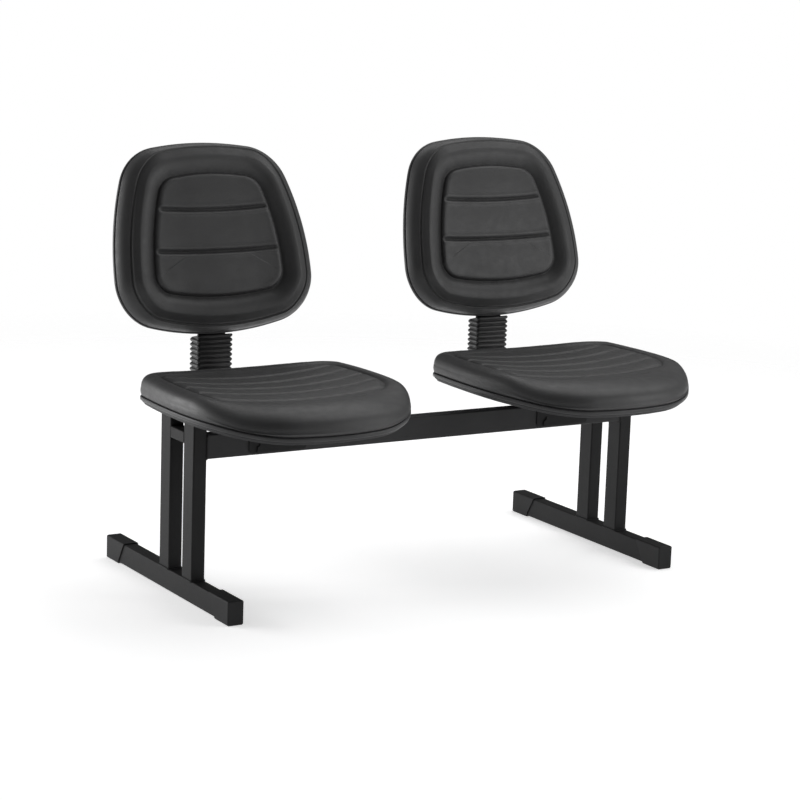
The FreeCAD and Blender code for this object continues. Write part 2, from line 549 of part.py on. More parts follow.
    # clamp knob: lobed head on a steel stud
    kt = t_spine + 2.5
    kh = cyl(9.0, (0, kt, vk), (0, 1, 0), 6.0).fuse(cyl(21.0, (0, kt + 5, vk), (0, 1, 0), 19.0))
    for i in range(6):
        a = math.radians(60 * i + 30)
        kh = kh.cut(cyl(7.0, (25.0 * math.cos(a), kt + 4, vk + 25.0 * math.sin(a)), (0, 1, 0), 22))
    kh = kh.removeSplitter()
    try:
        oe = [e for e in kh.Edges if abs(e.BoundBox.YMin - kt - 24) < 1e-3]
        kh = kh.makeFillet(2.0, oe)
    except Exception:
        pass
    kh = kh.cut(cyl(stud_r, (0, kt - 1, vk), (0, 1, 0), 17))
    st = cyl(stud_r, (0, t_bar + bar_t / 2 + 0.3, vk), (0, 1, 0), kt + 16 - (t_bar + bar_t / 2 + 0.3))
    keep("back_cushion_%s" % side, place_back(bc, xc))
    keep("back_board_%s" % side, place_back(brd, xc))
    keep("back_edge_bead_%s" % side, place_back(bead, xc))
    keep("back_shell_%s" % side, place_back(sh, xc))
    keep("back_guide_%s" % side, place_back(gd, xc))
    keep("guide_screws_%s" % side, place_back(Part.makeCompound(gs), xc))
    keep("back_tee_nuts_%s" % side, place_back(Part.makeCompound(tn), xc))
    keep("back_shell_screws_%s" % side, place_back(Part.makeCompound(ss), xc))
    keep("knob_head_%s" % side, place_back(kh, xc))
    keep("knob_stud_%s" % side, place_back(st, xc))

# -------------------------------------------------------------------- export
for name, shape in nodes.items():
    bad = (not shape.isValid()) or len(shape.Solids) == 0 or any(s.Volume <= 0 for s in shape.Solids)
    bb = shape.BoundBox
    print("%-28s solids %2d  vol %10.0f  %s  [%7.1f %7.1f] [%7.1f %7.1f] [%7.1f %7.1f]" % (
        name, len(shape.Solids), shape.Volume, "BAD" if bad else "ok",
        bb.XMin, bb.XMax, bb.YMin, bb.YMax, bb.ZMin, bb.ZMax))
    shape.exportStep("parts/%s.step" % name)
xs = [s.BoundBox for s in nodes.values()]
print("nodes", len(nodes), "box", min(b.XMin for b in xs), max(b.XMax for b in xs), min(b.YMin for b in xs),
      max(b.YMax for b in xs), min(b.ZMin for b in xs), max(b.ZMax for b in xs))
print("bar bend v %.1f z %.1f" % (v_bend, z_bend))
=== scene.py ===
import bpy, bmesh, math, json
import numpy as np
from mathutils import Vector, Matrix
from mathutils.kdtree import KDTree


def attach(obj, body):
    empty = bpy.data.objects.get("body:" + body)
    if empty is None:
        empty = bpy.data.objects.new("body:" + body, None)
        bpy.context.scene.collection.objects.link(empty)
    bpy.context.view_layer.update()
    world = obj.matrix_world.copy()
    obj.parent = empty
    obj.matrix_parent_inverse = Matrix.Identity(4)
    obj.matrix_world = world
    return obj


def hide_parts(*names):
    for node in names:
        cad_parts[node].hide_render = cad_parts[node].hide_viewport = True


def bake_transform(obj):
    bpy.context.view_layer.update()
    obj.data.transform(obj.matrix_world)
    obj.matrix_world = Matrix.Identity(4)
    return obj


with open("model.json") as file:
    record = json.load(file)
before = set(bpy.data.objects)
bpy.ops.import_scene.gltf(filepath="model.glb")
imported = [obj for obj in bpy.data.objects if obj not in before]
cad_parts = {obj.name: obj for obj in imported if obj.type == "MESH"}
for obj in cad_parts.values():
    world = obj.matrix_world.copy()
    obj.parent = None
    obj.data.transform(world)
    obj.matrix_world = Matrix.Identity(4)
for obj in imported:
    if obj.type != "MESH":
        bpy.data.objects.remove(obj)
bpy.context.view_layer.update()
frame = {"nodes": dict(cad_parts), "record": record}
scene = bpy.context.scene
nodes = frame["nodes"]
MM = 0.001

# ------------------------------------------------------------------ dimensions (mm)
PITCH = 694.0
SIDES = {"left": -PITCH / 2, "right": PITCH / 2}
RAKE = math.radians(15.0)
BACK_Y, BACK_Z = 209.0, 660.0
C15, S15 = math.cos(RAKE), math.sin(RAKE)
FLAT_X, CURVE_T = 60.0, -600.0       # the back is flat in the middle, its sides curve forward

BACK = dict(a=227.0, v0=-43.0, up=(286.0, 107.0, 19.6, 9.2), lo=(115.0, 100.0, 11.9, 13.8))
BACK_PANEL = dict(a=148.7, v0=-37.6, up=(213.7, 48.4, 18.1, 9.7), lo=(49.0, 44.0, 9.5, 10.1))
SEAT = dict(a=246.0, v0=-85.0, up=(225.0, 70.0, 8.0, 11.0), lo=(245.0, 190.0, 9.0, 10.0))
SEAT_PANEL = dict(a=208.0, v0=-85.0, up=(178.0, 46.0, 7.0, 9.0), lo=(152.0, 112.0, 8.0, 10.0))
Z_SEAM, Z_TOP = 391.0, 446.0
SIDE_RISE, FRONT_DROP = 14.0, 9.0    # the edge of the seat is curved: up at the sides, down at the front


# ------------------------------------------------------------------ outlines
def quad(a, b, r, al, be, counts):
    """Quarter outline from (a, 0) to (0, b) as three tangent arcs; points and outward normals."""
    A, B = math.radians(al), math.radians(be)
    m00, m01 = 1 - math.cos(A), math.sin(B)
    m10, m11 = math.sin(A), 1 - math.cos(B)
    h0 = a - r * math.cos(A) + r * math.sin(B)
    h1 = b + r * math.sin(A) - r * math.cos(B)
    det = m00 * m11 - m01 * m10
    R1 = (h0 * m11 - m01 * h1) / det
    R2 = (m00 * h1 - m10 * h0) / det
    c1 = np.array([a - R1, 0.0])
    p1 = c1 + R1 * np.array([math.cos(A), math.sin(A)])
    cc = p1 - r * np.array([math.cos(A), math.sin(A)])
    c2 = np.array([0.0, b - R2])
    P, N = [], []
    for (c, R, t0, t1), n in zip([(c1, R1, 0.0, al), (cc, r, al, 90 - be), (c2, R2, 90 - be, 90.0)], counts):
        t = np.radians(t0 + (t1 - t0) * np.arange(n) / n)
        n_ = np.c_[np.cos(t), np.sin(t)]
        P.append(c + R * n_)
        N.append(n_)
    return np.vstack(P), np.vstack(N)


def ring(spec, inset, counts):
    """Closed outline, anticlockwise from the widest point on +x, with its outward normals."""
    a = spec["a"] - inset
    out, nor = [], []
    for key, sy in (("up", 1), ("lo", -1)):
        b, r, al, be = spec[key]
        P, N = quad(a, b - inset, r - inset, al, be, counts)
        E = np.array([[0.0, b - inset]]), np.array([[0.0, 1.0]])
        Pf, Nf = np.vstack([P, E[0]]), np.vstack([N, E[1]])      # includes the end point
        if sy > 0:
            q1 = (P, N)                                          # +x to top
            q2 = (Pf[:0:-1] * [-1, 1], Nf[:0:-1] * [-1, 1])      # top to -x, without its end
            out += [q1[0], q2[0]]
            nor += [q1[1], q2[1]]
        else:
            q3 = (P * [-1, -1], N * [-1, -1])                    # -x to bottom
            q4 = (Pf[:0:-1] * [1, -1], Nf[:0:-1] * [1, -1])      # bottom to +x
            out += [q3[0], q4[0]]
            nor += [q3[1], q4[1]]
    P, N = np.vstack(out), np.vstack(nor)
    return P + [0.0, spec["v0"]], N


def smooth(x, lo, hi):
    t = np.clip((x - lo) / (hi - lo), 0, 1)
    return t * t * (3 - 2 * t)


# ------------------------------------------------------------------ mesh helpers
def mesh_object(name, verts, faces, smooth_shade=True):
    me = bpy.data.meshes.new(name)
    me.from_pydata([tuple(v) for v in verts], [], [tuple(f) for f in faces])
    me.validate()
    me.update()
    ob = bpy.data.objects.new(name, me)
    scene.collection.objects.link(ob)
    if smooth_shade:
        me.polygons.foreach_set("use_smooth", [True] * len(me.polygons))
    return ob


def loft(rings_, close_start=False, close_end=False, cyclic=False):
    """Rings of equal length, each (n, 3), joined by quads. Optional caps by a centre point."""
    R = [np.asarray(r, float) for r in rings_]
    n = len(R[0])
    V = np.vstack(R)
    F = []
    m = len(R)
    for k in range(m if cyclic else m - 1):
        a, b = k * n, ((k + 1) % m) * n
        for i in range(n):
            j = (i + 1) % n
            F.append((a + i, a + j, b + j, b + i))
    if close_start:
        V = np.vstack([V, R[0].mean(0)])
        c = len(V) - 1
        F += [(c, (i + 1) % n, i) for i in range(n)]
    if close_end:
        V = np.vstack([V, R[-1].mean(0)])
        c = len(V) - 1
        o = (m - 1) * n
        F += [(c, o + i, o + (i + 1) % n) for i in range(n)]
    return V, F


def recalc(ob):
    bm = bmesh.new()
    bm.from_mesh(ob.data)
    bmesh.ops.recalc_face_normals(bm, faces=bm.faces)
    bm.to_mesh(ob.data)
    bm.free()


def back_to_world(P, xc):
    """(x, t, v) in the back's frame, mm, to the row frame, m."""
    P = np.asarray(P, float)
    off = np.maximum(np.abs(P[:, 0]) - FLAT_X, 0)
    t = CURVE_T + np.sqrt((P[:, 1] - CURVE_T) ** 2 - off ** 2)
    return np.c_[P[:, 0] + xc, BACK_Y + P[:, 2] * S15 + t * C15, BACK_Z + P[:, 2] * C15 - t * S15] * MM


def seat_to_world(P, xc):
    P = np.asarray(P, float)
    return np.c_[P[:, 0] + xc, P[:, 1], P[:, 2]] * MM


def seat_curve(P):
    s = np.maximum(0.0, (np.abs(P[:, 0]) - 100.0) / 146.0)
    q = np.maximum(0.0, (-190.0 - P[:, 1]) / 140.0)
    return SIDE_RISE * s * s - FRONT_DROP * q * q


def attribute(ob, name, values):
    at = ob.data.attributes.get(name) or ob.data.attributes.new(name, "FLOAT", "POINT")
    at.data.foreach_set("value", np.asarray(values, np.float32))


def value_noise(P, cell, seed):
    """Smooth deterministic noise in 3-D, about -1..1."""
    Q = np.asarray(P, float) / cell
    i = np.floor(Q).astype(np.int64)
    f = Q - i
    f = f * f * (3 - 2 * f)
    def h(a, b, c):
        k = (a * 73856093) ^ (b * 19349663) ^ (c * 83492791) ^ (seed * 2654435761)
        k = (k ^ (k >> 13)) * 1274126177 & 0xFFFFFFFF
        return ((k ^ (k >> 16)) & 0xFFFF) / 32767.5 - 1.0
    r = 0
    for dx in (0, 1):
        for dy in (0, 1):
            for dz in (0, 1):
                w = (f[:, 0] if dx else 1 - f[:, 0]) * (f[:, 1] if dy else 1 - f[:, 1]) * (f[:, 2] if dz else 1 - f[:, 2])
                r = r + w * h(i[:, 0] + dx, i[:, 1] + dy, i[:, 2] + dz)
    return r


# ------------------------------------------------------------------ materials
def material(name):
    m = bpy.data.materials.new(name)
    m.use_nodes = True
    nt = m.node_tree
    for n in list(nt.nodes):
        nt.nodes.remove(n)
    out = nt.nodes.new("ShaderNodeOutputMaterial")
    bs = nt.nodes.new("ShaderNodeBsdfPrincipled")
    nt.links.new(bs.outputs["BSDF"], out.inputs["Surface"])
    return m, nt, bs


class Tree:
    def __init__(self, nt):
        self.nt = nt
    def node(self, kind, **kw):
        n = self.nt.nodes.new(kind)
        for k, v in kw.items():
            setattr(n, k, v)
        return n
    def link(self, a, b):
        self.nt.links.new(a, b)
    def coords(self):
        return self.node("ShaderNodeTexCoord").outputs["Object"]
    def noise(self, vec, scale, detail=3.0, rough=0.55, dist=0.0):
        n = self.node("ShaderNodeTexNoise")
        n.inputs["Scale"].default_value = scale
        n.inputs["Detail"].default_value = detail
        n.inputs["Roughness"].default_value = rough
        n.inputs["Distortion"].default_value = dist
        self.link(vec, n.inputs["Vector"])
        return n.outputs["Fac"]
    def voronoi(self, vec, scale, feature="DISTANCE_TO_EDGE", rand=1.0):
        n = self.node("ShaderNodeTexVoronoi", feature=feature)
        n.inputs["Scale"].default_value = scale
        n.inputs["Randomness"].default_value = rand
        self.link(vec, n.inputs["Vector"])
        return n.outputs["Distance"]
    def remap(self, v, a, b, c, d, clamp=True):
        n = self.node("ShaderNodeMapRange", clamp=clamp)
        for k, x in zip(("From Min", "From Max", "To Min", "To Max"), (a, b, c, d)):
            n.inputs[k].default_value = x
        self.link(v, n.inputs["Value"])
        return n.outputs["Result"]
    def math(self, op, a, b=None):
        n = self.node("ShaderNodeMath", operation=op)
        for i, x in enumerate((a, b)):
            if x is None:
                continue
            if isinstance(x, (int, float)):
                n.inputs[i].default_value = x
            else:
                self.link(x, n.inputs[i])
        return n.outputs[0]
    def mix(self, fac, a, b):
        n = self.node("ShaderNodeMix", data_type="RGBA")
        for key, x in ((0, fac), (6, a), (7, b)):
            if isinstance(x, (int, float)):
                n.inputs[key].default_value = x
            elif isinstance(x, tuple):
                n.inputs[key].default_value = (*x, 1.0)
            else:
                self.link(x, n.inputs[key])
        return n.outputs[2]
    def attr(self, name):
        return self.node("ShaderNodeAttribute", attribute_name=name).outputs["Fac"]
    def bump(self, height, strength, distance, normal=None):
        n = self.node("ShaderNodeBump")
        n.inputs["Strength"].default_value = strength
        n.inputs["Distance"].default_value = distance
        self.link(height, n.inputs["Height"])
        if normal is not None:
            self.link(normal, n.inputs["Normal"])
        return n.outputs["Normal"]


def vinyl():
    """Satin coated fabric: leather-like pebble grain and fine pores, with painted shade in the grooves and a painted
    highlight on the crests.
    """
    m, nt, bs = material("vinyl_black")
    t = Tree(nt)
    co = t.coords()
    big = t.noise(co, 9.0, 3.0, 0.5)
    mid = t.noise(co, 60.0, 2.0, 0.5)
    warp = t.node("ShaderNodeVectorMath", operation="ADD")
    nz = t.node("ShaderNodeTexNoise")
    nz.inputs["Scale"].default_value = 260.0
    t.link(co, nz.inputs["Vector"])
    sc = t.node("ShaderNodeVectorMath", operation="SCALE")
    sc.inputs["Scale"].default_value = 0.0011
    t.link(nz.outputs["Color"], sc.inputs[0])
    t.link(co, warp.inputs[0])
    t.link(sc.outputs[0], warp.inputs[1])
    wv = warp.outputs[0]
    grain = t.voronoi(wv, 640.0)
    grain2 = t.voronoi(wv, 1500.0)
    cells = t.remap(grain, 0.0, 0.10, 0.0, 1.0)
    pores = t.remap(grain2, 0.0, 0.08, 0.0, 1.0)
    g = t.attr("groove")
    crest = t.attr("crest")
    col = t.mix(t.remap(big, 0.3, 0.7, 0.0, 1.0), (0.0275, 0.0275, 0.0282), (0.0330, 0.0330, 0.0338))
    col = t.mix(t.math("MULTIPLY", t.math("SUBTRACT", 1.0, cells), 0.35), col, (0.010, 0.010, 0.0105))
    # painted shade: the groove weight darkens the colour in seams, creases and channels
    col = t.mix(t.math("MULTIPLY", g, 0.80), col, (0.007, 0.007, 0.0075))
    # painted highlight: the crest weight lightens the colour on rolled edges and channel lips
    col = t.mix(t.math("MULTIPLY", crest, 0.35), col, (0.036, 0.036, 0.037))
    t.link(col, bs.inputs["Base Color"])
    r = t.remap(mid, 0.3, 0.7, 0.40, 0.50)
    r = t.math("ADD", r, t.math("MULTIPLY", t.math("SUBTRACT", 1.0, cells), 0.10))
    r = t.math("ADD", r, t.math("MULTIPLY", g, 0.12))
    r = t.math("SUBTRACT", r, t.math("MULTIPLY", crest, 0.05))
    t.link(r, bs.inputs["Roughness"])
    n1 = t.bump(cells, 0.22, 0.00022)
    n2 = t.bump(pores, 0.12, 0.0001, n1)
    n3 = t.bump(big, 0.06, 0.003, n2)
    t.link(n3, bs.inputs["Normal"])
    bs.inputs["Specular IOR Level"].default_value = 0.5
    bs.inputs["Sheen Weight"].default_value = 0.03
    bs.inputs["Sheen Roughness"].default_value = 0.5
    return m


def powder(name="frame_paint_coat", k=1.0):
    """Semi-matt powder coat with fine orange peel, slightly rubbed."""
    m, nt, bs = material(name)
    t = Tree(nt)
    co = t.coords()
    big = t.noise(co, 7.0, 4.0, 0.6)
    peel = t.noise(co, 900.0, 2.0, 0.5)
    speck = t.noise(co, 2600.0, 1.0, 0.5)
    scratch = t.node("ShaderNodeMapping")
    scratch.inputs["Scale"].default_value = (30.0, 30.0, 900.0)
    t.link(co, scratch.inputs["Vector"])
    sc = t.noise(scratch.outputs[0], 1.0, 5.0, 0.7, 1.5)
    rub = t.remap(sc, 0.62, 0.74, 0.0, 1.0)
    rub = t.math("MULTIPLY", rub, t.remap(big, 0.52, 0.66, 0.0, 1.0))
    col = t.mix(t.remap(big, 0.3, 0.7, 0.0, 1.0), (0.0125 * k, 0.0125 * k, 0.0129 * k), (0.0165 * k, 0.0165 * k, 0.0169 * k))
    col = t.mix(t.math("MULTIPLY", rub, 0.30), col, (0.045, 0.045, 0.046))
    t.link(col, bs.inputs["Base Color"])
    r = t.remap(peel, 0.3, 0.7, 0.42, 0.56)
    r = t.math("ADD", r, t.math("MULTIPLY", rub, 0.10))
    t.link(r, bs.inputs["Roughness"])
    n1 = t.bump(peel, 0.16, 0.0003)
    n2 = t.bump(speck, 0.08, 0.00008, n1)
    t.link(n2, bs.inputs["Normal"])
    bs.inputs["Specular IOR Level"].default_value = 0.13
    return m


def plastic(name, base, rough, grain=1100.0, strength=0.25):
    """Moulded plastic with spark-erosion texture and faint flow clouds."""
    m, nt, bs = material(name)
    t = Tree(nt)
    co = t.coords()
    big = t.noise(co, 11.0, 3.0, 0.55)
    gr = t.noise(co, grain, 2.0, 0.6)
    pits = t.voronoi(co, grain * 0.8, "F1")
    hi = tuple(c * 1.35 for c in base)
    col = t.mix(t.remap(big, 0.3, 0.7, 0.0, 1.0), base, hi)
    col = t.mix(t.math("MULTIPLY", t.remap(pits, 0.0, 0.35, 1.0, 0.0), 0.35), col, tuple(c * 0.5 for c in base))
    t.link(col, bs.inputs["Base Color"])
    t.link(t.remap(gr, 0.3, 0.7, rough - 0.05, rough + 0.07), bs.inputs["Roughness"])
    n1 = t.bump(gr, strength, 0.00025)
    n2 = t.bump(pits, strength * 0.6, 0.00015, n1)
    t.link(n2, bs.inputs["Normal"])
    bs.inputs["Specular IOR Level"].default_value = 0.12 if name.startswith("cap") else 0.32
    return m


def rubber():
    m, nt, bs = material("bellows_rubber_mat")
    t = Tree(nt)
    co = t.coords()
    big = t.noise(co, 40.0, 3.0, 0.55)
    fine = t.noise(co, 1400.0, 2.0, 0.6)
    val = t.attr("valley")
    col = t.mix(t.remap(big, 0.35, 0.7, 0.0, 1.0), (0.018, 0.018, 0.0185), (0.024, 0.024, 0.0245))
    # painted shade: the valley weight darkens the colour in the folds, on the cuffs and on the inner rings
    col = t.mix(t.math("MULTIPLY", val, 0.5), col, (0.005, 0.005, 0.005))
    t.link(col, bs.inputs["Base Color"])
    t.link(t.remap(fine, 0.3, 0.7, 0.29, 0.40), bs.inputs["Roughness"])
    t.link(t.bump(fine, 0.15, 0.0002), bs.inputs["Normal"])
    return m


def zinc():
    m, nt, bs = material("zinc_plate")
    t = Tree(nt)
    co = t.coords()
    sp = t.voronoi(co, 500.0, "F1")
    no = t.noise(co, 160.0, 4.0, 0.6)
    t.link(t.mix(t.remap(no, 0.3, 0.7, 0.0, 1.0), (0.48, 0.49, 0.50), (0.66, 0.66, 0.67)), bs.inputs["Base Color"])
    bs.inputs["Metallic"].default_value = 1.0
    t.link(t.remap(sp, 0.0, 0.6, 0.28, 0.42), bs.inputs["Roughness"])
    t.link(t.bump(no, 0.10, 0.0002), bs.inputs["Normal"])
    return m


def black_oxide():
    m, nt, bs = material("black_oxide")
    t = Tree(nt)
    co = t.coords()
    no = t.noise(co, 300.0, 4.0, 0.6)
    t.link(t.mix(no, (0.03, 0.03, 0.032), (0.075, 0.075, 0.08)), bs.inputs["Base Color"])
    bs.inputs["Metallic"].default_value = 0.85
    t.link(t.remap(no, 0.3, 0.7, 0.32, 0.5), bs.inputs["Roughness"])
    t.link(t.bump(no, 0.1, 0.0002), bs.inputs["Normal"])
    return m


def ply():
    m, nt, bs = material("plywood_board")
    t = Tree(nt)
    co = t.coords()
    mp = t.node("ShaderNodeMapping")
    mp.inputs["Scale"].default_value = (3.0, 26.0, 26.0)
    t.link(co, mp.inputs["Vector"])
    gr = t.noise(mp.outputs[0], 6.0, 6.0, 0.65, 1.2)
    lay = t.node("ShaderNodeTexWave", bands_direction="Z", wave_profile="SAW")
    lay.inputs["Scale"].default_value = 110.0
    t.link(co, lay.inputs["Vector"])
    col = t.mix(t.remap(gr, 0.3, 0.7, 0.0, 1.0), (0.50, 0.35, 0.20), (0.68, 0.52, 0.34))
    col = t.mix(t.math("MULTIPLY", lay.outputs["Fac"], 0.25), col, (0.34, 0.22, 0.12))
    t.link(col, bs.inputs["Base Color"])
    t.link(t.remap(gr, 0.3, 0.7, 0.55, 0.72), bs.inputs["Roughness"])
    t.link(t.bump(gr, 0.2, 0.0004), bs.inputs["Normal"])
    return m


MAT = {
    "vinyl": vinyl(),
    "frame_paint": powder(),
    "cap_plastic": plastic("cap_plastic_mould", (0.0155, 0.0155, 0.016), 0.47),
    "shell_plastic": plastic("shell_plastic_mould", (0.022, 0.022, 0.023), 0.50, 800.0, 0.35),
    "bead_pvc": plastic("bead_pvc_profile", (0.034, 0.034, 0.035), 0.36, 1600.0, 0.08),
    "bellows_rubber": rubber(),
    "knob_plastic": plastic("knob_plastic_mould", (0.014, 0.014, 0.0145), 0.42, 1300.0, 0.2),
    "plywood": ply(),
    "zinc": zinc(),
    "black_screw": black_oxide(),
}
BEAM_PAINT_LIGHTENED = powder("frame_paint_beam_lightened", 2.3)      # painted light: a lighter copy of the frame paint makes the beam read lighter
slot_of = {s["node"]: s["material_slot"] for s in frame["record"]["subparts"]}


def dress(ob, slot):
    ob.data.materials.clear()
    ob.data.materials.append(MAT[slot])


# ------------------------------------------------------------------ CAD nodes: finish and softened edges
BEVEL = {"frame_paint": 0.5, "cap_plastic": 0.7, "shell_plastic": 0.8, "knob_plastic": 0.6, "zinc": 0.3,
         "black_screw": 0.25, "plywood": 0.6, "bead_pvc": 0.5}
for name, ob in nodes.items():
    slot = slot_of[name]
    for k in range(len(ob.data.materials)):
        ob.data.materials[k] = MAT[slot]
    if not len(ob.data.materials):
        ob.data.materials.append(MAT[slot])
    # the beam gets the lightened copy of the frame paint as painted light
    if name == "beam_tube":
        for k in range(len(ob.data.materials)):
            ob.data.materials[k] = BEAM_PAINT_LIGHTENED
    if slot in BEVEL and not name.startswith("foot_cap"):
        w = ob.modifiers.new("weld", "WELD")
        w.merge_threshold = 0.00002
        b = ob.modifiers.new("edges", "BEVEL")
        b.width = BEVEL[slot] * MM
        b.segments = 2
        b.limit_method = "ANGLE"
        b.angle_limit = math.radians(38)
        b.use_clamp_overlap = True
        b.harden_normals = True

# ------------------------------------------------------------------ cushions
CNT = (64, 40, 40)                     # samples of the three arcs of a quarter


def back_profile():
    """Front form of the back cushion as rings of (x, t, v), with how deep each ring lies in a groove."""
    O0, N0 = ring(BACK, 0.0, CNT)
    P0, NP = ring(BACK_PANEL, 0.0, CNT)
    nx = np.abs(N0[:, 0])
    side = smooth(nx, 0.0, 1.0)
    dc = 15.0 + 11.5 * side             # inset of the crease between side wall and face
    top = smooth(N0[:, 1], 0.55, 0.98)  # the crease is shallower along the top
    # groove weights paint shade into the colour along the tucked edge, crease and loop channel; crest weights paint
    # highlight on the face ring and panel edge
    rings, groove, crest, keys = [], [], [], []
    def add(P, t, g=0.0, c=0.0, key=0.0):
        t = np.broadcast_to(np.asarray(t, float), (len(P),))
        rings.append(np.c_[P[:, 0], t, P[:, 1]])
        groove.append(np.broadcast_to(np.asarray(g, float), (len(P),)))
        crest.append(np.broadcast_to(np.asarray(c, float), (len(P),)))
        keys.append(key)
    def at(d):
        d = np.broadcast_to(np.asarray(d, float), (len(O0),))
        return O0 - N0 * d[:, None]
    # tucked edge above the bead
    for d, t, g in ((9.0, 45.6, 1), (6.5, 45.0, 1), (6.2, 43.0, 1), (5.2, 41.0, 1), (3.0, 39.8, .8), (1.4, 38.6, .3)):
        add(at(d), t, g, 0.0, 0.0)
    # side wall, leaning in towards the face with a slight fullness
    tc = 10.6 - 3.4 * top
    soft = 1.0 - 0.6 * top
    for u in (0.0, 0.04, 0.09, 0.15, 0.22, 0.29, 0.37, 0.45, 0.53, 0.61, 0.69, 0.77, 0.84, 0.90, 0.95, 1.0):
        full = 1.9 * math.sin(math.pi * min(1.0, u * 1.05)) + 1.1 * math.sin(math.pi * u) ** 2
        d = 1.0 + (dc - 4.2 - 1.0) * u ** 1.12
        t = 37.6 + (tc - 1.2 - 37.6) * u
        nn = 0.62 * full
        add(at(d - nn), t - nn * 0.55, 0.22 * smooth(u, 0.80, 1.0) * soft, 0.0, 1.0)
    # crease
    for f, dt, g in ((0.18, -1.0, .28), (0.36, -0.7, .36), (0.55, -0.55, .42), (0.80, -0.7, .42), (1.0, -1.2, .38)):
        add(at(dc - 4.2 + 4.2 * f), tc + dt, g * soft, 0.0, 1.0)
    # face ring from the crease to the loop channel
    A = at(dc)
    w = 1.0 - 0.32 * top
    for s, t, g, c in ((0.025, 8.5, .32, 0), (0.055, 7.3, .24, 0), (0.09, 6.0, .15, 0), (0.128, 4.7, .07, 0), (0.168, 3.4, 0, .1), (0.208, 2.2, 0, .3), (0.245, 1.25, 0, .4),
                       (0.275, 0.1, 0, .5), (0.345, -0.5, 0, .3), (0.42, -0.9, 0, 0.1), (0.49, -0.9, 0, 0), (0.555, -0.5, 0, 0), (0.615, 0.1, 0, 0), (0.67, 0.9, 0, 0), (0.72, 1.9, 0, 0),
                       (0.77, 3.0, .1, 0), (0.82, 4.3, .2, 0), (0.865, 5.5, .4, 0), (0.905, 6.5, .65, 0), (0.94, 7.3, .85, 0), (0.97, 7.8, .97, 0), (1.0, 8.0, 1, 0)):
        Q = A + (P0 - A) * s
        add(Q, t * (w if s < 0.26 else 1.0), g * (soft if s < 0.26 else 1.0), c, 2.0)
    # steep inner wall and panel, towards its centre
    vc = BACK_PANEL["v0"] + (BACK_PANEL["up"][0] - BACK_PANEL["lo"][0]) / 2
    C = np.array([0.0, vc])
    for d, t, g, c in ((0.7, 7.7, 1, 0), (1.4, 6.9, .9, 0), (2.2, 5.4, .6, .1), (3.1, 3.8, .2, .5), (4.2, 2.4, 0, 1), (5.8, 1.3, 0, .9), (8.2, 0.6, 0, .5), (12.0, 0.1, 0, .1)):
        add(P0 - NP * d, t, g, c, 3.0)
    I = P0 - NP * 12.0
    m = 52
    for k in range(1, m + 1):
        s = k / (m + 1.0)
        add(I + (C - I) * s, 0.1 - 1.2 * smooth(s, 0, 0.5), 0.0, 0.0, 4.0)
    return np.array(rings), np.array(groove), np.array(crest), np.array(keys), C


def back_channels(x, v):
    """Signed distance in v to the two cross channels, which bow down in the middle."""
    c1 = 95.8 + 5.0 * (x / 125.0) ** 2
    c2 = 8.0 + 4.0 * (x / 145.0) ** 2
    return v - c1, v - c2


def channel_shape(s, depth, half, lip):
    """Cross-section of a sewn channel: s is the signed distance across it."""
    return depth * np.exp(-(np.abs(s) / half) ** 1.7) - lip * np.exp(-((np.abs(s) - 2.3 * half) / (1.1 * half)) ** 2)


def crown_back(x, v):
    """Gentle overall form of the face: fuller at the waist, falling away to the top."""
    return 3.5 * (1 - np.clip((v + 20) / 210.0, -1, 1) ** 2) + 1.0 * (1 - np.clip(x / 215.0, -1, 1) ** 2)


def seat_dish(x, y):
    u = 1 - np.clip(np.abs(x) / 216.0, 0, 1) ** 2.4
    w = smooth(y, -285, -170) * (1 - 0.70 * smooth(y, 20, 140))
    front = smooth(-y, 135, 285)
    rear = smooth(y, 60, 135) * (1 - np.clip(np.abs(x) / 150.0, 0, 1) ** 2)
    return 15.0 * u * w + 8.5 * front * (1 - 0.35 * (np.abs(x) / 230.0) ** 2) + 3.5 * rear


SEAT_CH = (34.0, -26.0, -84.0, -142.0, -198.0)


def seat_line(x, y, c):
    """Signed distance to a seat channel, which bows rearwards at its ends."""
    return y - c - 15.0 * (x / 185.0) ** 2


